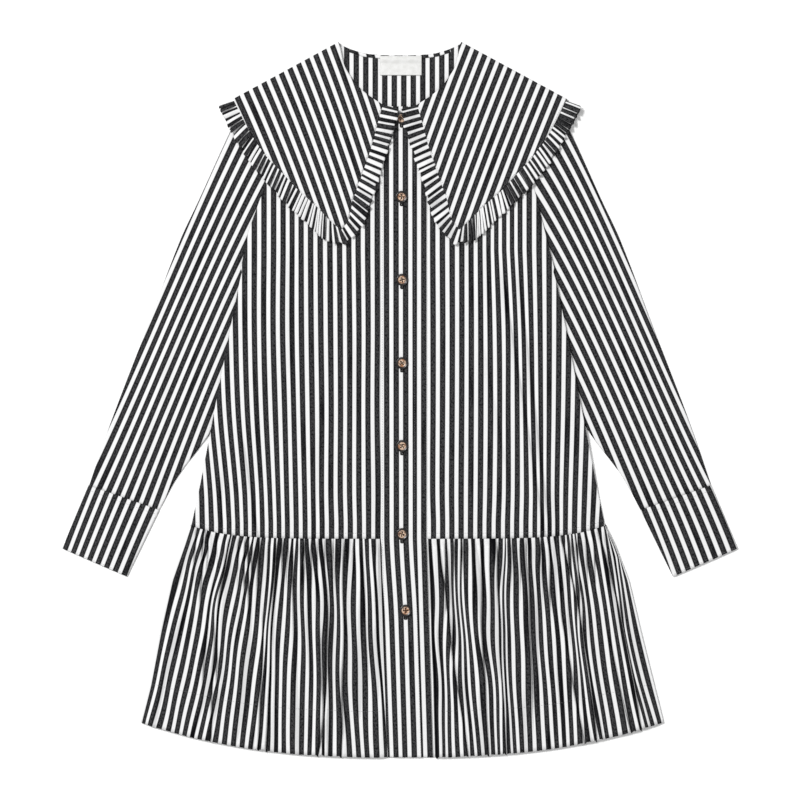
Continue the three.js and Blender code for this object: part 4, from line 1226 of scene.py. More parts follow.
    def thread_lines(self, side: Side, rows: Array) -> tuple[Array, Array]:
        """Where chosen threads lie on level rows of the front.

        Args:
            side: the half.
            rows: falling heights on the lay.

        Returns:
            Thread numbers in millimetres from the band, and one row of places a level.
        """
        known = np.array(self.stripes[side], float)
        step = np.array([self.levels[0] + 40.0, *self.levels, self.levels[-1] - 50.0])
        first = known[:, :1] - 0.5 * (known[:, 1:2] - known[:, :1])
        last = known[:, -1:] + (known[:, -1:] - known[:, -2:-1])
        inside = through(-step, np.hstack([first, known, last]).T, -rows)
        band = self.inner[side] + LAY.swing(rows)
        edge = side.value * np.interp(-rows, -np.array(self.side_y, float), self.side_out[side])
        threads = self.first_thread[side] + 23.75 * np.arange(len(known))
        lines = np.column_stack([band, inside, edge])
        lines[:, 1:-1] = side.value * np.clip(side.value * lines[:, 1:-1], side.value * band[:, None] + 1.0,
                                              side.value * edge[:, None] - 2.0)
        return np.array([0.0, *threads, self.cloth_width[side]]), lines

    def lay_front(self, side: Side) -> Callable[[Array, Array], Placed]:
        """Work out how a front half lies.

        Args:
            side: the half.

        Returns:
            The cloth's place for shares across and down.
        """
        rows = np.linspace(-140.0, -452.0, 60)
        threads, lines = self.thread_lines(side, rows)
        width = self.cloth_width[side]
        fine = np.linspace(0, width, self.cells[0] + 1)
        table = np.array([through(threads, line[:, None], fine)[:, 0] for line in lines])
        outer = self.side_edge(side)
        pick = random.Random(7 if side is Side.LEFT else 8)
        ripples = [(pick.uniform(3.2, 6.5), pick.uniform(0, 6.28), pick.uniform(-0.6, 0.6)) for _ in range(4)]
        wobbles = [(pick.uniform(7, 19), pick.uniform(14, 40), pick.uniform(0, 6.28)) for _ in range(5)]
        span = side.value * (LAY.side_seam[side][-1] - abs(self.inner[side]))
        count = int(abs(span) / self.small_pitch)
        small = []
        for k in range(count):
            at = self.inner[side] + span * (k + pick.uniform(0.3, 0.7)) / count
            drift = pick.uniform(-2.5, 2.5) + side.value * 6.0 * (k / count)
            small.append(Crevice(at, at + drift, at + 2 * drift, 0.0, pick.uniform(0.16, 0.5),
                                 tall=pick.uniform(1.4, 2.6), half=pick.uniform(1.1, 1.7)))
        crevices = [*self.crevices[side], *small]

        def place(u: Array, v: Array) -> Placed:
            v = v ** self.crowding
            column = np.clip(u * self.cells[0], 0, self.cells[0] - 1e-6)
            left = column.astype(int)
            share = column - left
            y = lerp(-174.0, -440.0, v)
            for _ in range(5):
                row = np.clip((rows[0] - y) / (rows[0] - rows[-1]) * (len(rows) - 1), 0, len(rows) - 1.001)
                up = row.astype(int)
                x = lerp(lerp(table[up, left], table[up, left + 1], share),
                         lerp(table[up + 1, left], table[up + 1, left + 1], share), row - up)
                y = lerp(self.seam_y(x, side) + self.tuck_under, self.hem(x)[:, 1], v)
            edge = ease((side.value * (outer(v)[:, 0] - x)) / 14)
            band = ease(side.value * (x - self.inner[side] - LAY.band_swing * v) / 9)
            tall = self.bite * sum(crevice.relief(x, v) for crevice in crevices)
            shift = sum(crevice.pinch(x, v) for crevice in crevices)
            # Thin streaks that follow the threads: each lowers the cloth a little and carries painted crease shade.
            streak_dip_and_painted_shade = np.sin(u * width / 2.9 + 2.2 * np.sin(v * 3.1 + u * width / 41))
            streak_dip_and_painted_shade = streak_dip_and_painted_shade + np.sin(u * width / 4.3 + 1.7 * np.cos(v * 4.3 + u * width / 57))
            streak_dip_and_painted_shade = 0.72 * ease((streak_dip_and_painted_shade - 0.85) / 0.5)
            tall = tall - 0.8 * streak_dip_and_painted_shade
            # Painted shadow right under the bodice's lower edge along the waist seam, uneven from thread to thread.
            painted_seam_shadow = 0.6 + 0.4 * np.sin(u * width / 3.1 + 2.0 * np.sin(u * width / 23))
            painted_seam_shadow = painted_seam_shadow * np.exp(-(v / 0.013) ** 2)
            shade = np.maximum.reduce([streak_dip_and_painted_shade, painted_seam_shadow, *(crevice.shade(x, v) for crevice in crevices)])
            shift = shift + sum(0.34 * np.sin(x / a + y / b + p) for a, b, p in wobbles) * ease(v * 6)
            ripple = sum(np.sin(u * width / w + p + d * 6 * v) for w, p, d in ripples)
            tall = tall + ripple * (0.34 * ease((0.36 - v) / 0.36) + 0.05)
            puff = ease(v / 0.05)
            swell = 1.3 * np.exp(-((v - 0.055) / 0.04) ** 2)
            body = PLY + GAP + SHELL / 2 + 0.05
            high = body + 0.25 + (self.lift + swell + np.maximum(tall, -self.lift)) * lerp(0.25, 1.0, edge * band)
            y = y + v * 0.5 * (tall - 0.6)
            across = side.value * (u * width - self.first_thread[side] + 5.94)
            x = x + shift * edge * band
            return Placed(np.stack([x, y], axis=1), lerp(PLY + 0.1, high, puff), across, y, shade)

        return place

    def front(self, side: Side) -> bpy.types.Object:
        """Lay one half of the front tier."""
        name = f"skirt_front_{side.label}"
        piece = self.room.cloth(f"{name}_cloth", self.cells, self.lay_front(side), flip=side is Side.LEFT)
        self.room.dress(piece, "poplin", [name])
        return piece

    def back(self) -> bpy.types.Object:
        """Lay the back tier, flat on the table."""
        left, right = self.side_edge(Side.LEFT, 0.8), self.side_edge(Side.RIGHT, 0.8)
        pick = random.Random(5)
        long_folds = []
        for i in range(17):
            x = lerp(-240, 240, (i + pick.uniform(0.25, 0.75)) / 17)
            long_folds.append(Fold(x, x * 1.1, x * 1.2, hides=8, hides_hem=7, tall=0.55,
                                   lean=pick.choice((-1, 1)), end=pick.choice((0.8, 1.4, 1.4))))
        short = gathers(31, -250, 250, 17.0, (3.0, 6.0), (0.2, 0.7), (0.35, 0.55))
        width = sum(self.cloth_width.values())
        cloth = Pleated([*long_folds, *short], width)

        def place(u: Array, v: Array) -> Placed:
            plan = np.empty((len(u), 2))
            z = np.empty(len(u))
            for depth in np.unique(v):
                here = v == depth
                order = u[here]
                x, tall = cloth.row(order * width, float(depth), left(depth)[0, 0], right(depth)[0, 0])
                top = np.where(x < 0, self.seam_y(x, Side.LEFT), self.seam_y(x, Side.RIGHT)) - GAP
                plan[here, 0] = x
                plan[here, 1] = lerp(top, self.hem(x)[:, 1] + 0.8, depth)
                z[here] = SHELL / 2 + 0.02 + tall
            return Placed(plan, z, u * width, plan[:, 1])

        piece = self.room.cloth("skirt_back_cloth", self.back_cells, place, shell=0.4)
        self.room.dress(piece, "poplin", ["skirt_back"])
        return piece


@dataclass(frozen=True)
class Grain:
    """The run of the stripes over a piece, as a cubic in the place about its middle, in decimetres."""

    middle: tuple[float, float]
    terms: tuple[float, ...]
    powers: tuple = ((0, 0), (1, 0), (0, 1), (2, 0), (1, 1), (0, 2), (3, 0), (2, 1), (1, 2), (0, 3))

    def threads(self, place: Array, root: Array | None = None) -> tuple[Array, Array]:
        """Cloth coordinates at places, across the stripes and along them.

        Args:
            place: plan points.
            root: where a layer turned over a fold leaves the one that shows, point by point.

        Returns:
            The two coordinates, carried on straight from the root where there is one.
        """
        seen = place if root is None else root
        x, y = ((seen - np.array(self.middle)) / 100.0).T
        across = sum(c * x ** i * y ** j for c, (i, j) in zip(self.terms, self.powers))
        way = np.array(self.terms[1:3]) / 100.0
        across = across + (place - seen) @ way
        return across, (place - np.array(self.middle)) @ np.array([-way[1], way[0]])


@dataclass
class Sleeve:
    """One sleeve and its cuff, flattened tubes."""

    room: Workroom
    side: Side
    hollow: float = 0.4
    puff: float = 0.8
    round_off: float = 1.9
    inset: dict = field(default_factory=lambda: {Side.LEFT: 0.5, Side.RIGHT: 0.1})
    # strength of a painted shade line along the outer fold, on each side
    fold_shade: dict = field(default_factory=lambda: {Side.LEFT: 1.0, Side.RIGHT: 0.0})
    ring_outer: tuple = (0.01, 0.06, 0.11, 0.16, 0.21, 0.27, 0.33, 0.39, 0.47, 0.54, 0.62, 0.69,
                         0.77, 0.85, 0.92, 1.0)
    ring_armhole: tuple = (0.03, 0.15, 0.30, 0.45, 0.60, 0.74, 0.88, 1.0)
    cuff_outer: tuple[float, float] = (421.9, -186.1)
    cuff_inner: tuple[float, float] = (341.3, -221.1)
    cells: tuple[int, int] = (104, 150)
    cuff_cells: tuple[int, int] = (104, 34)
    creases: dict = field(default_factory=lambda: {
        Side.LEFT: (
            Crease((262, 160), (330, -80), 1.6, 13), Crease((300, 70), (292, -70), 1.2, 11),
            Crease((214, 300), (262, 180), 0.9, 8, 0.3, 0.5), Crease((236, 120), (262, 20), 0.9, 9),
            Crease((330, 20), (352, -60), 0.8, 8, 0.4, 0.5), Crease((205, 200), (222, 120), 0.9, 7),
            Crease((192, 272), (240, 190), -0.9, 6), Crease((245, 194), (264, 130), -1.0, 6),
        ),
        Side.RIGHT: (
            Crease((262, 160), (330, -80), 1.6, 13), Crease((300, 70), (292, -70), 1.2, 11),
            Crease((232, 250), (276, 130), 1.0, 9, 0.3, 0.5), Crease((228, 110), (258, 10), 0.9, 9),
            Crease((322, 40), (346, -50), 0.8, 9, 0.4, 0.5),
            Crease((242, 192), (266, 128), -1.1, 6), Crease((275, 60), (290, 10), -0.9, 6),
        ),
    })
    grain: dict = field(default_factory=lambda: {
        Side.LEFT: Grain((-263.5, 65.8), (5.038, 101.078, -43.336, -1.137, 1.085, -1.41,
                                          -1.977, -0.074, -1.842, 0.664)),
        Side.RIGHT: Grain((263.9, 66.3), (5.061, 96.815, 43.991, 9.74, 4.975, 1.712,
                                          2.268, 5.729, 0.22, -0.257)),
    })
    cuff_grain: dict = field(default_factory=lambda: {
        Side.LEFT: Grain((-353.0, -166.0), (2.13, 92.734, -38.285, -7.991, 1.205, -1.177)),
        Side.RIGHT: Grain((353.9, -165.5), (4.941, 91.341, 36.882, -4.269, -2.846, 3.366)),
    })

    def ring(self, down: Array) -> tuple[Array, Array, Array]:
        """Outer and inner ends of the rings at shares down the sleeve, and the ring numbers."""
        lines = LAY.outlines[self.side]
        count = len(self.ring_outer)
        number = down * (count - 1)
        outer = beside(lines["outer"], -self.side.value * self.inset[self.side])(
            np.interp(number, np.arange(count), self.ring_outer))
        split = len(self.ring_armhole) - 1
        armhole = lines["armhole"](np.interp(number, np.arange(split + 1), self.ring_armhole))
        fold = lines["inner"](np.clip((number - split) / (count - 1 - split), 0, 1))
        inner = np.where((number < split)[:, None], armhole, fold)
        return outer, inner, number

    def tube(self, u: Array, outer: Array, inner: Array, closed: Array) -> tuple[Array, ...]:
        """Walk round the flattened tube, from the inner fold over the top to the outer and back beneath.

        Args:
            u: share of the walk.
            outer: the outer fold at each point.
            inner: the inner fold at each point.
            closed: 1 where the inner fold is closed, 0 where it is open.

        Returns:
            Plan points, share in from the outer fold, whether on top, and how full each layer stands.
        """
        top = u <= 0.5
        way = np.where(top, 1 - 2 * u, 2 * u - 1)
        w = 0.5 - 0.5 * np.cos(np.pi * way)
        w = lerp(w, way, 0.55)
        width = np.linalg.norm(outer - inner, axis=1)
        plan = lerp(outer, inner, w[:, None])
        near_outer = np.clip(w * width / self.round_off, 0, 1)
        near_inner = np.clip((1 - w) * width / self.round_off, 0, 1)
        full = np.sqrt(np.maximum(0.0, 1 - (1 - near_outer) ** 2))
        full_in = np.sqrt(np.maximum(0.0, 1 - (1 - near_inner) ** 2))
        return plan, w, top, full * lerp(1.0, full_in, closed)

    def heights(self, plan: Array, w: Array, number: Array) -> Array:
        """Height of the sleeve's upper face."""
        last = len(self.ring_outer) - 1
        filled = ease(number / 5) * ease((last - number) / 3 + 0.25)
        mirrored = np.stack([np.abs(plan[:, 0]), plan[:, 1]], axis=1)
        tall = creased(self.creases[self.side], mirrored)
        free = ease((0.75 - w) * 5) * ease(w * 8)
        puff = self.puff * filled * np.sin(np.pi * np.clip(w, 0, 1))
        return 2 * CLOTH + self.hollow + puff + tall * free * filled

    def build(self) -> None:
        """Lay the sleeve and the cuff."""
        def place(u: Array, v: Array) -> Placed:
            outer, inner, number = self.ring(v)
            closed = ease((number - 6.3) / 0.7)
            plan, w, top, full = self.tube(u, outer, inner, closed)
            low = LAY.collar_lift(plan) + CLOTH / 2
            high = LAY.collar_lift(plan) + self.heights(plan, w, number) - CLOTH / 2
            mid = (LAY.collar_lift(plan) * 2 + self.heights(plan, w, number)) / 2
            z = lerp(mid, np.where(top, high, low), full)
            over = top[:, None]
            flipped, root = np.where(over, plan, 2 * outer - plan), np.where(over, plan, outer)
            # Painted shade: along the crease troughs on the top layer, and a dark line along the left sleeve's outer
            # fold in its upper part.
            folded = shaded(self.creases[self.side], np.stack([np.abs(plan[:, 0]), plan[:, 1]], axis=1))
            rim = self.fold_shade[self.side] * ease((plan[:, 1] - 205.0) / 50.0) * np.exp(-(w * 95.0) ** 2)
            return Placed(plan, z, *self.grain[self.side].threads(flipped, root),
                          np.maximum(rim, np.where(top, folded, 0.0)))

        name = f"sleeve_{self.side.label}"
        piece = self.room.cloth(f"{name}_cloth", self.cells, place, flip=self.side is Side.RIGHT, weld=True)
        self.room.dress(piece, "poplin", [name])
        self.cuff()

    def cuff_ends(self, v: Array) -> tuple[Array, Array]:
        """Outer and inner folds of the cuff at shares down it."""
        lines = LAY.outlines[self.side]
        top = lines["outer"](1.0), lines["inner"](1.0)
        end = plane([self.cuff_outer], self.side)[0], plane([self.cuff_inner], self.side)[0]
        down = end[0] - top[0]
        down = down / np.linalg.norm(down) * 0.1
        return lerp(top[0] + down, end[0], v[:, None]), lerp(top[1] + down, end[1], v[:, None])

    def cuff(self) -> None:
        """Lay the cuff."""
        def place(u: Array, v: Array) -> Placed:
            outer, inner = self.cuff_ends(v)
            plan, w, top, full = self.tube(u, outer, inner, np.ones(len(u)))
            height = 2.6 + self.hollow + 0.8 * v * np.sin(np.pi * np.clip(w, 0, 1))
            z = lerp(height / 2, np.where(top, height - 0.6, 0.6), full)
            turned = 0.12 * (1 - ease(v * 14)) + 0.12 * (1 - ease((1 - v) * 14))
            z += np.where(top, turned, 0.0)
            over = top[:, None]
            flipped, root = np.where(over, plan, 2 * outer - plan), np.where(over, plan, outer)
            return Placed(plan, z, *self.cuff_grain[self.side].threads(flipped, root))

        name = f"cuff_{self.side.label}"
        piece = self.room.cloth(f"{name}_cloth", self.cuff_cells, place, flip=self.side is Side.RIGHT,
                                weld=True, shell=0.8)
        self.room.dress(piece, "poplin_trim", [name])


@dataclass
class Collar:
    """The pointed collar and its gathered ruffle."""

    room: Workroom
    seam: tuple = ((21.4, 368.1), (28.1, 344.4), (35.8, 315.6), (47.3, 281.1), (58.8, 248.6), (64.5, 223.8),
                   (73.8, 211.4), (87.5, 223.8), (106.3, 243.1), (127.5, 261.9), (148.8, 285.0),
                   (167.5, 304.4), (186.9, 333.1), (208.8, 375.6))
    free: tuple = ((1.0, 362.0), (6.0, 340.0), (15.5, 311.0), (26.5, 276.0), (36.5, 243.5), (46.0, 217.0),
                   (68.0, 194.2), (93.0, 200.0), (119.0, 223.5), (142.0, 244.0), (164.0, 268.5),
                   (184.5, 292.5), (204.0, 324.0), (226.3, 366.0))
    point_row: int = 6
    back_edge: tuple = ((186.5, 333.0), (163.0, 293.0), (110.0, 257.0), (0.0, 243.0))
    top_button: tuple[float, float] = (2.0, 351.0)
    cells: tuple[int, int] = (92, 70)
    fold_cells: int = 10
    ruffle_cells: tuple[int, int] = (640, 10)
    ruffle_cloth: float = 690.0
    ruffle_tall: float = 3.8
    repeat: float = 11.875
    tuck: float = 1.2
    slide: float = 3.2
    grain: dict = field(default_factory=lambda: {
        Side.LEFT: Grain((-99.2, 341.2), (3.555, 96.039, 35.49, 4.631, -3.094, 0.326)),
        Side.RIGHT: Grain((100.0, 340.7), (-2.504, 95.783, -36.318, -1.057, -1.861, -0.486)),
    })

    @property
    def radius(self) -> float:
        """Radius of the fold over the shoulder."""
        return (2 * PLY + SLACK + LAY.ridge + PLY) / 2

    def fold_line(self, side: Side) -> tuple[Edge, Array]:
        """The shoulder fold's line, and the way in from it."""
        neck, corner = (plane([p], side)[0] for p in (LAY.neck_point, LAY.collar_corner))
        along = (corner - neck) / np.hypot(*(corner - neck))
        inward = np.array([along[1], -along[0]]) * side.value
        inset = self.radius + CLOTH / 2
        return straight(neck + inward * inset, corner + inward * inset), inward

    def flap(self, side: Side) -> Patch:
        """Plan of one pointed flap, from its front edge to the shoulder fold."""
        fold, _ = self.fold_line(side)
        seam = plane(self.seam, side)
        front = Curve(seam[:self.point_row + 1])
        outer = Curve(np.vstack([seam[self.point_row:-1], fold(1.0)]))
        neck = Curve(np.vstack([front(0.0), plane(LAY.front_neck, side), fold(0.0)]))
        return Patch(front, fold, neck, outer)

    def half(self, side: Side) -> bpy.types.Object:
        """Lay half the collar: flap, fold over the shoulder, and flat half back."""
        flap = self.flap(side)
        fold, inward = self.fold_line(side)
        other = [LAY.mirrored(edge) for edge in (LAY.back_neck, self.back_edge)]
        folds = {s: self.fold_line(s)[0] for s in Side}
        neck = Curve(np.vstack([folds[Side.LEFT](0.0), other[0], folds[Side.RIGHT](0.0)]))
        edge = Curve(np.vstack([folds[Side.LEFT](1.0), other[1], folds[Side.RIGHT](1.0)]))
        whole = Patch(folds[Side.LEFT], folds[Side.RIGHT], neck, edge)
        flap_end, fold_end = 0.56, 0.66
        grain = self.grain[side]

        def place(u: Array, v: Array) -> Placed:
            plan = np.empty((len(u), 2))
            z = np.empty(len(u))
            across = np.empty(len(u))
            along = np.empty(len(u))
            on_flap = u <= flap_end
            on_fold = (u > flap_end) & (u <= fold_end)
            on_back = u > fold_end
            plan[on_flap] = flap(u[on_flap] / flap_end, v[on_flap])
            ripple = 0.25 * np.sin(plan[on_flap][:, 0] / 21.0 + plan[on_flap][:, 1] / 34.0)
            z[on_flap] = LAY.collar(plan[on_flap]) + CLOTH / 2 + ripple * ease(v[on_flap] * 3)
            across[on_flap], along[on_flap] = grain.threads(plan[on_flap])
            base = fold(v)
            turn = np.pi * (u[on_fold] - flap_end) / (fold_end - flap_end)
            plan[on_fold] = base[on_fold] - inward * (self.radius * np.sin(turn))[:, None]
            z[on_fold] = CLOTH / 2 + self.radius * (1 + np.cos(turn))
            edge_at = base[on_fold] - inward * (self.radius * turn)[:, None]
            across[on_fold], along[on_fold] = grain.threads(edge_at, base[on_fold])
            share = 0.5 * (u[on_back] - fold_end) / (1 - fold_end)
            plan[on_back] = whole(share if side is Side.LEFT else 1 - share, v[on_back])
            z[on_back] = CLOTH / 2
            off = plan[on_back] - base[on_back]
            reach = off @ inward
            mirrored = plan[on_back] - (2 * reach)[:, None] * inward - inward * (np.pi * self.radius)
            across[on_back], along[on_back] = grain.threads(mirrored, base[on_back])
            return Placed(plan, z, across, along)

        return self.room.cloth(f"collar_half_{side.label}", self.cells, place, flip=side is Side.RIGHT)

    def collar(self) -> None:
        """Join the halves at the centre back."""
        halves = [self.half(side) for side in Side]
        bm = bmesh.new()
        for piece in halves:
            bm.from_mesh(piece.data)
        bmesh.ops.remove_doubles(bm, verts=bm.verts, dist=0.02 * MM)
        bm.to_mesh(halves[0].data)
        bm.free()
        bpy.data.objects.remove(halves[1])
        piece = halves[0]
        piece.name = piece.data.name = "collar_cloth"
        self.room.dress(piece, "poplin_trim", ["collar"])

    def edge_lines(self, side: Side) -> tuple[Edge, Edge, float]:
        """The seam and free edges of the ruffle, read by shares, and the seam's length."""
        flap = self.flap(side)
        free = plane(self.free, side)
        parts = [flap.start, flap.bottom]
        lengths = [float(np.linalg.norm(np.diff(part(np.linspace(0, 1, 60)), axis=0), axis=1).sum())
                   for part in parts]
        share = lengths[0] / sum(lengths)
        seam = chain([(share, parts[0]), (1 - share, parts[1])])
        loose = chain([(share, Curve(free[:self.point_row + 1])), (1 - share, Curve(free[self.point_row:]))])
        return seam, loose, sum(lengths)

    def climb(self, place: Array) -> Array:
        """How the ruffle rides over the top button."""
        away = np.linalg.norm(place - np.array(self.top_button), axis=1)
        return 3.4 * (1 - ease((away - 12) / 12))

    def pleats(self, side: Side, length: float, corner: float) -> list[Fold]:
        """One small pleat to each stripe repeat of the ruffle, closer together round the point.

        Args:
            side: the half.
            length: length of the ruffle's seam.
            corner: how far along it the collar's point comes.

        Returns:
            The pleats, placed so that each falls on the edge of a dark stripe.
        """
        pick = random.Random(41 if side is Side.LEFT else 57)
        count = int(self.ruffle_cloth / self.repeat)
        peak = corner / length * self.ruffle_cloth + 8.0
        centres = [(k + (0.76 if k * self.repeat < peak - 40 else 0.715)) * self.repeat + pick.uniform(-1.3, 1.3)
                   for k in range(count)]
        ends = []
        for _ in range(2):
            hides = np.array([pick.uniform(0.75, 1.25) * (1 + 0.45 * math.exp(-((c - peak) / 46) ** 2))
                              for c in centres])
            hides *= np.where(np.array(centres) < peak - 40, 0.72, 1.12)
            hides *= (self.ruffle_cloth - length) / hides.sum()
            ends.append((hides, np.array(centres) - np.cumsum(hides) + hides / 2))
        made = []
        for k in range(count):
            first, last = float(ends[0][1][k]), float(ends[1][1][k])
            tall, lean = pick.uniform(0.65, 1.15), pick.choice((-1, 1))
            made.append(Fold(first, lerp(first, last, 0.46), last, hides=float(ends[0][0][k]),
                             hides_hem=float(ends[1][0][k]), tall=tall,
                             lean=1 if 10 < centres[k] - peak < 110 else lean))
        return made

    def ruffle(self, side: Side) -> None:
        """Gather one front ruffle round the flap's edge."""
        seam, loose, length = self.edge_lines(side)
        corner = float(np.linalg.norm(np.diff(self.flap(side).start(np.linspace(0, 1, 60)), axis=0), axis=1).sum())
        cloth = Pleated(self.pleats(side, length, corner), self.ruffle_cloth)

        def place(u: Array, v: Array) -> Placed:
            plan = np.empty((len(u), 2))
            z = np.empty(len(u))
            shade = np.empty(len(u))
            for depth in np.unique(v):
                here = v == depth
                at, tall = cloth.row(u[here] * self.ruffle_cloth, float(depth), 0.0, length)
                share = np.clip(at / length, 0, 1)
                front = np.clip(share * length / corner, 0, 1)
                slid = share - self.slide / length * np.sin(np.pi * front) ** 0.5
                start, end = seam(share), loose(np.clip(slid, 0, 1))
                way = (end - start) / np.linalg.norm(end - start, axis=1)[:, None]
                zigzag = (tall - 0.5) * 3.4 * depth ** 1.5
                start = start - way * self.tuck
                end = end + way * zigzag[:, None]
                plan[here] = lerp(start, end, depth)
                rise = float(ease(depth * 1.8)) * 0.8 + 0.2 * depth
                root = LAY.collar(start) + CLOTH / 2
                z[here] = root - 0.45 * (1 - depth) ** 8 + self.climb(plan[here]) * depth
                z[here] += tall * lerp(0.2, self.ruffle_tall, rise)
                # Painted shade in the low parts between the ruffle's pleats.
                shade[here] = 0.9 * ease((0.2 - tall) / 0.2) * ease(depth * 4)
            return Placed(plan, z, (u * self.ruffle_cloth + self.repeat / 2), 20.0 * v, shade)

        name = f"ruffle_{side.label}"
        piece = self.room.cloth(f"{name}_cloth", self.ruffle_cells, place, flip=side is Side.LEFT, shell=0.4)
        self.room.dress(piece, "poplin_trim", [name])

    def back_ruffle(self) -> None:
        """Lay the ruffle of the collar's back, pressed flat on the table."""
        folds_at = {s: self.fold_line(s)[0] for s in Side}
        edge = Curve(np.vstack([folds_at[Side.LEFT](1.0), LAY.mirrored(self.back_edge), folds_at[Side.RIGHT](1.0)]))
        run = edge(np.linspace(0, 1, 200))
        length = float(np.linalg.norm(np.diff(run, axis=0), axis=1).sum())
        turning = edge(np.linspace(0, 1, 11))
        walk = Curve(turning)
        width = length * 1.75
        cloth = Pleated(gathers(71, 1.0, length - 1.0, 7.4, (2.6, 8.4), (2.0, 2.2), (0.25, 0.5)), width)

        def place(u: Array, v: Array) -> Placed:
            at, tall = cloth.row(u * width, 0.2, 0.0, length)
            share = np.clip(at / length, 0, 1)
            plan = beside(walk, -1.0)(share)
            start = walk(share)
            way = plan - start
            deep = lerp(GAP, 20.5, v) + (tall - 0.25) * 1.5 * v
            return Placed(start + way * deep[:, None], 0.24 + tall * 1.1, u * width, 20.0 * v)

        piece = self.room.cloth("ruffle_back_cloth", (560, 7), place, flip=True, shell=0.4)
        self.room.dress(piece, "poplin_trim", ["ruffle_back"])

    def build(self) -> None:
        """Make the collar and its ruffles."""
        self.collar()
        for side in Side:
            self.ruffle(side)
        self.back_ruffle()


@dataclass
class NeckFinish:
    """Bias binding along the back neck, and the bare woven label."""

    room: Workroom
    setback: float = 0.4
    wide: float = 4.2
    label: tuple[float, float, float, float] = (-25.0, 27.0, 429.0, 405.0)

    def binding(self) -> None:
        """Roll the binding along the neck edge."""
        edge = Curve(LAY.mirrored(LAY.back_neck))

        def place(u: Array, v: Array) -> Placed:
            turn = v * np.pi
            deep = lerp(self.setback, self.wide, 0.5 - 0.5 * np.cos(turn))
            line = edge(u)
            way = beside(edge, -1.0)(u) - line
            plan = line + way * deep[:, None]
            z = LAY.back(plan) + PLY + 0.25 + 0.75 * np.sin(turn)
            across = (plan[:, 0] + plan[:, 1] + 4 * v) * math.sqrt(0.5)
            return Placed(plan, z, across, plan[:, 1])

        piece = self.room.cloth("neck_binding_cloth", (110, 8), place, shell=0.35)
        self.room.dress(piece, "poplin_trim", ["neck_binding"])

    def neck_label(self) -> None:
        """Lay the label, with its ends turned under."""
        x0, x1, top, bottom = self.label

        def place(u: Array, v: Array) -> Placed:
            plan = np.stack([lerp(x0, x1, u), lerp(top, bottom, v)], axis=1)
            climb = 1 - ease((429 - plan[:, 1] - 4.5) / 5.5)
            turned = 0.25 * (ease((u - 0.0) / 0.02) * ease((1 - u) / 0.02))
            bow = 0.25 * np.sin(np.pi * u) * ease(v * 1.5)
            z = LAY.back(plan) + PLY + 0.3 + PLY * climb + turned + bow
            return Placed(plan, z, plan[:, 0], plan[:, 1])

        piece = self.room.cloth("neck_label_cloth", (52, 24), place, finish=self.room.tape)
        self.room.dress(piece, "label", ["neck_label"])

    def build(self) -> None:
        """Make both."""
        self.binding()
        self.neck_label()


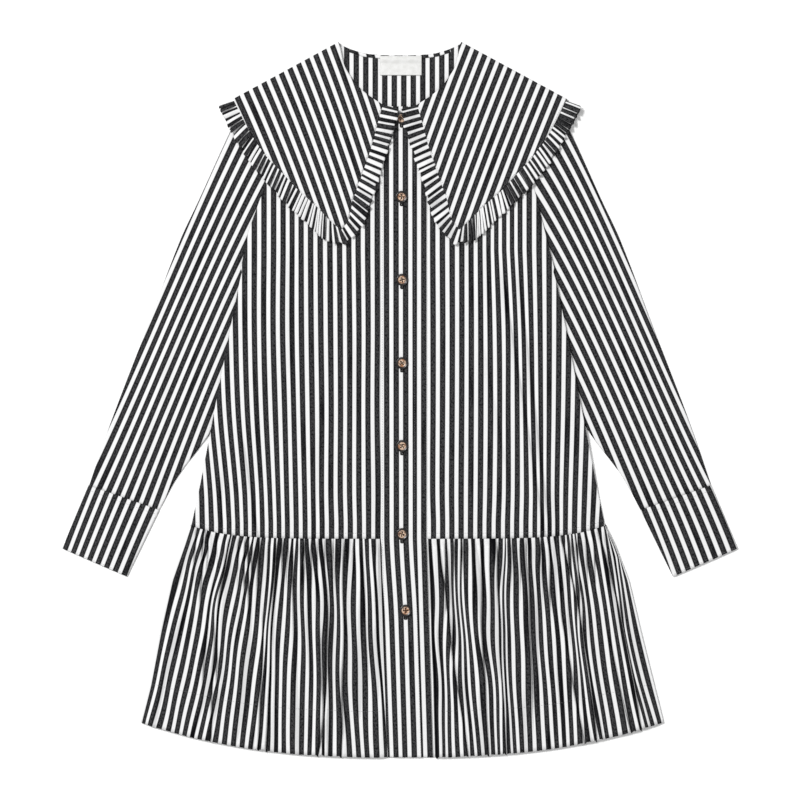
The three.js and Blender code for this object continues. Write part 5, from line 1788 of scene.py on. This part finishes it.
@dataclass
class Fastenings:
    """Seven four-hole buttons, their threads and their buttonholes."""

    room: Workroom
    across: float = 15.0
    thick: float = 2.4
    hole: float = 1.7
    spacing: float = 3.4
    places: tuple = ((2.0, 351.0), (2.0, 253.0), (2.5, 149.5), (2.5, 45.5), (2.5, -58.0), (2.5, -168.0),
                     (7.0, -263.5))

    def blank(self) -> bpy.types.Mesh:
        """Turn one button with its four holes."""
        r, t = self.across / 2, self.thick
        profile = [(0.0, 0.0), (r - 1.6, 0.0), (r - 0.6, 0.35), (r - 0.05, 1.0), (r, 1.5), (r - 0.25, t - 0.25),
                   (r - 0.8, t), (r - 1.6, t - 0.1), (r - 2.3, t - 0.62), (r - 3.0, t - 0.8), (0.0, t - 0.75)]
        bm = bmesh.new()
        spots = [bm.verts.new((x * MM, 0.0, z * MM)) for x, z in profile]
        edges = [bm.edges.new(pair) for pair in zip(spots[:-1], spots[1:])]
        bmesh.ops.spin(bm, geom=spots + edges, cent=(0, 0, 0), axis=(0, 0, 1), angle=2 * math.pi, steps=48,
                       use_merge=True)
        bmesh.ops.remove_doubles(bm, verts=bm.verts, dist=0.001 * MM)
        bmesh.ops.recalc_face_normals(bm, faces=bm.faces)
        disc = self.room.shape("button blank", bm, self.room.resin)
        bm = bmesh.new()
        for quarter in range(4):
            angle = math.pi / 4 + quarter * math.pi / 2
            reach = self.spacing / math.sqrt(2)
            spot = (reach * math.cos(angle) * MM, reach * math.sin(angle) * MM, t / 2 * MM)
            bmesh.ops.create_cone(bm, cap_ends=True, segments=20, radius1=self.hole / 2 * MM,
                                  radius2=self.hole / 2 * MM, depth=2 * t * MM, matrix=Matrix.Translation(spot))
        drill = self.room.shape("button drill", bm, self.room.resin)
        cut = disc.modifiers.new("holes", "BOOLEAN")
        cut.object = drill
        cut.operation = "DIFFERENCE"
        cut.solver = "EXACT"
        soft = disc.modifiers.new("edges", "BEVEL")
        soft.affect = "EDGES"
        soft.width = 0.12 * MM
        soft.segments = 2
        soft.profile = 0.5
        soft.material = -1
        soft.limit_method = "ANGLE"
        soft.angle_limit = math.radians(50)
        done = bpy.data.meshes.new_from_object(disc.evaluated_get(bpy.context.evaluated_depsgraph_get()))
        for spare in (disc, drill):
            bpy.data.objects.remove(spare)
        spots = np.empty(len(done.vertices) * 3)
        done.vertices.foreach_get("co", spots)
        out = np.hypot(spots[0::3], spots[1::3]) / (r * MM)
        done.attributes.new("rim", "FLOAT", "POINT").data.foreach_set("value", out)
        return done

    def build(self) -> None:
        """Make the buttons, threads and buttonholes."""
        blank = self.blank()
        threads = Stitches("button_threads", thick=0.55)
        holes = Stitches("buttonhole_stitches", thick=0.85)
        for number, (x, y) in enumerate(self.places, 1):
            base = float(LAY.over_band(np.array([[x, y]]))[0]) + PLY
            mesh = blank.copy()
            turn = Matrix.Rotation(0.35 * number, 4, "Z")
            mesh.transform(Matrix.Translation((x * MM, y * MM, base * MM)) @ turn)
            mesh.shade_smooth()
            piece = bpy.data.objects.new(f"button_{number}_resin", mesh)
            bpy.context.scene.collection.objects.link(piece)
            self.room.dress(piece, "button", [f"button_{number}"])
            self.thread(threads, x, y, base, 0.35 * number)
            self.buttonhole(holes, x, y - 2.2, base)
        self.room.dress(threads.done(self.room.dark_thread), "poplin_trim")
        self.room.dress(holes.done(self.room.dark_thread), "poplin_trim")

    def thread(self, threads: Stitches, x: float, y: float, base: float, turn: float) -> None:
        """Cross the threads through a button's holes."""
        reach = self.spacing / math.sqrt(2)
        top = base + self.thick - 0.45
        for quarter in (0, 1):
            for slip in (-0.28, 0.28):
                angle = turn + math.pi / 4 + quarter * math.pi / 2
                way = np.array([math.cos(angle), math.sin(angle)])
                off = np.array([-way[1], way[0]]) * slip
                ends = [np.array([x, y]) + off + way * reach * s for s in (-1.15, 0, 1.15)]
                rise = [top - 0.5, top + 0.15 + 0.1 * quarter, top - 0.5]
                spots = [np.array([*p, z]) for p, z in zip(ends, rise)]
                threads.stitch(spots[0], spots[1])
                threads.stitch(spots[1], spots[2])

    def buttonhole(self, holes: Stitches, x: float, y: float, base: float) -> None:
        """Sew a buttonhole's two walls and its end bars."""
        z = base - PLY + CLOTH / 2 + 0.65
        for step in np.arange(-8.4, 8.5, 0.6):
            for wall in (-1, 1):
                holes.stitch(np.array([x - wall * 0.2, y + step, z]), np.array([x + wall * 2.7, y + step, z]))
        for end in (-8.8, 8.8):
            for slip in (-0.3, 0.3):
                holes.stitch(np.array([x - 2.1, y + end + slip, z]), np.array([x + 2.1, y + end + slip, z]))


@dataclass
class Topstitching:
    """Every row of sewing that shows."""

    room: Workroom
    bodice: Bodice
    tier: Tier
    hem_share: float = 0.8546

    def on_front(self, plan: Array, side: Side) -> Array:
        """Places on a front panel's face."""
        return np.column_stack([plan, self.bodice.height(plan, side) + SHELL / 2 + 0.05])

    def waist(self) -> bpy.types.Object:
        """Sew the row above the drop-waist seam."""
        rows = Stitches("waist_topstitch")
        for side, start, end in ((Side.LEFT, -24.5, -259.0), (Side.RIGHT, 35.0, 255.0)):
            x = np.linspace(start, end, 160)
            rows.row(self.on_front(LAY.waist(x) + np.array([0.0, 7.0]), side))
        return rows.done(self.room.grey_thread)

    def hem(self) -> bpy.types.Object:
        """Sew the deep hem of both front halves."""
        rows = Stitches("hem_stitch")
        for side in Side:
            laid = self.tier.lay_front(side)(np.linspace(0.004, 0.996, 500), np.full(500, self.hem_share))
            rows.row(np.column_stack([laid.plan, laid.z + SHELL / 2 + 0.05]))
        return rows.done(self.room.grey_thread)

    def bands(self) -> bpy.types.Object:
        """Sew the placket's edges."""
        rows = Stitches("placket_topstitch")
        y = np.linspace(LAY.band_top - 1, LAY.hem_y + 1, 300)
        for x, lay in ((-22.0, LAY.over_band), (18.2, LAY.over_band), (32.4, lambda p: LAY.back(p) + PLY)):
            plan = np.stack([x + LAY.swing(y), y], axis=1)
            wave = 0.12 * np.sin(y / 17.0 + x / 9.0)
            rows.row(np.column_stack([plan, lay(plan) + CLOTH / 2 + 0.42 + wave]))
        return rows.done(self.room.grey_thread)

    def cuffs(self, sleeves: Sequence[Sleeve]) -> bpy.types.Object:
        """Sew along both ends of each cuff."""
        rows = Stitches("cuff_topstitch")
        for sleeve in sleeves:
            for v in (0.07, 0.975):
                w = np.linspace(0.02, 0.98, 60)
                outer, inner = sleeve.cuff_ends(np.full(60, v))
                plan = lerp(outer, inner, w[:, None])
                height = 2.6 + sleeve.hollow + 0.8 * v * np.sin(np.pi * w) - 0.6
                rows.row(np.column_stack([plan, height + 0.46]))
        return rows.done(self.room.grey_thread)

    def collar_edges(self, collar: Collar) -> bpy.types.Object:
        """Sew the collar's edge beside its ruffle."""
        rows = Stitches("collar_edge_stitch")
        for side in Side:
            seam, loose, _ = collar.edge_lines(side)
            share = np.linspace(0.01, 0.985, 160)
            start, end = seam(share), loose(share)
            way = (end - start) / np.linalg.norm(end - start, axis=1)[:, None]
            plan = start - way * 1.8
            rows.row(np.column_stack([plan, LAY.collar(plan) + CLOTH / 2 + 0.3 + SHELL / 2]))
        return rows.done(self.room.grey_thread)

    def build(self, sleeves: Sequence[Sleeve], collar: Collar) -> None:
        """Make all the rows."""
        for piece in (self.waist(), self.hem(), self.bands(), self.cuffs(sleeves), self.collar_edges(collar)):
            self.room.dress(piece, "poplin_trim")


@dataclass
class Studio:
    """Camera, floor and lights."""

    height: float = 4.0
    frame_width: float = 1.0
    sensor: float = 36.0

    def camera(self) -> None:
        """Look straight down, with the neck at the top of the picture."""
        lens = bpy.data.cameras.new("photo camera")
        lens.sensor_width = self.sensor
        lens.lens = self.sensor * self.height / self.frame_width
        lens.clip_end = 20
        eye = bpy.data.objects.new("photo camera", lens)
        eye.location = (0.0, -0.0006, self.height)
        bpy.context.scene.collection.objects.link(eye)
        bpy.context.scene.camera = eye

    def floor(self) -> None:
        """Lay the pale floor."""
        bm = bmesh.new()
        bmesh.ops.create_grid(bm, x_segments=1, y_segments=1, size=6.0,
                              matrix=Matrix.Translation((0, 0, -0.0004)))
        piece = Workroom.shape("floor", bm, Table().make())

    def lights(self) -> None:
        """Hang one large soft light and a weak one, in a pale room."""
        for name, place, size, power in (("key light", (-2.9, 2.4, 5.6), 1.6, 418.0),
                                         ("fill light", (1.6, -2.4, 5.6), 3.0, 70.0)):
            lamp = bpy.data.lights.new(name, "AREA")
            lamp.size = size
            lamp.energy = power
            hung = bpy.data.objects.new(name, lamp)
            hung.location = place
            hung.rotation_euler = (-Vector(place)).to_track_quat("-Z", "Y").to_euler()
            bpy.context.scene.collection.objects.link(hung)
        world = bpy.data.worlds.new("pale room")
        world.use_nodes = True
        world.node_tree.nodes["Background"].inputs["Color"].default_value = (1, 1, 1, 1)
        world.node_tree.nodes["Background"].inputs["Strength"].default_value = 0.42
        bpy.context.scene.world = world
        bpy.context.scene.view_settings.view_transform = "Standard"

    def build(self) -> None:
        """Set the studio up."""
        self.floor()
        self.lights()


def main() -> None:
    """Build the garment piece by piece."""
    logging.basicConfig(level=logging.INFO, format="%(name)s: %(message)s")
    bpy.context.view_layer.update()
    studio = Studio()
    studio.camera()
    room = Workroom()
    bodice = Bodice(room)
    bodice.back()
    for side in Side:
        bodice.front(side)
    Placket(room).build()
    tier = Tier(room)
    tier.back()
    for side in Side:
        tier.front(side)
    sleeves = [Sleeve(room, side) for side in Side]
    for sleeve in sleeves:
        sleeve.build()
    collar = Collar(room)
    collar.build()
    NeckFinish(room).build()
    Fastenings(room).build()
    Topstitching(room, bodice, tier).build(sleeves, collar)
    studio.build()


if __name__ == "__main__":
    main()
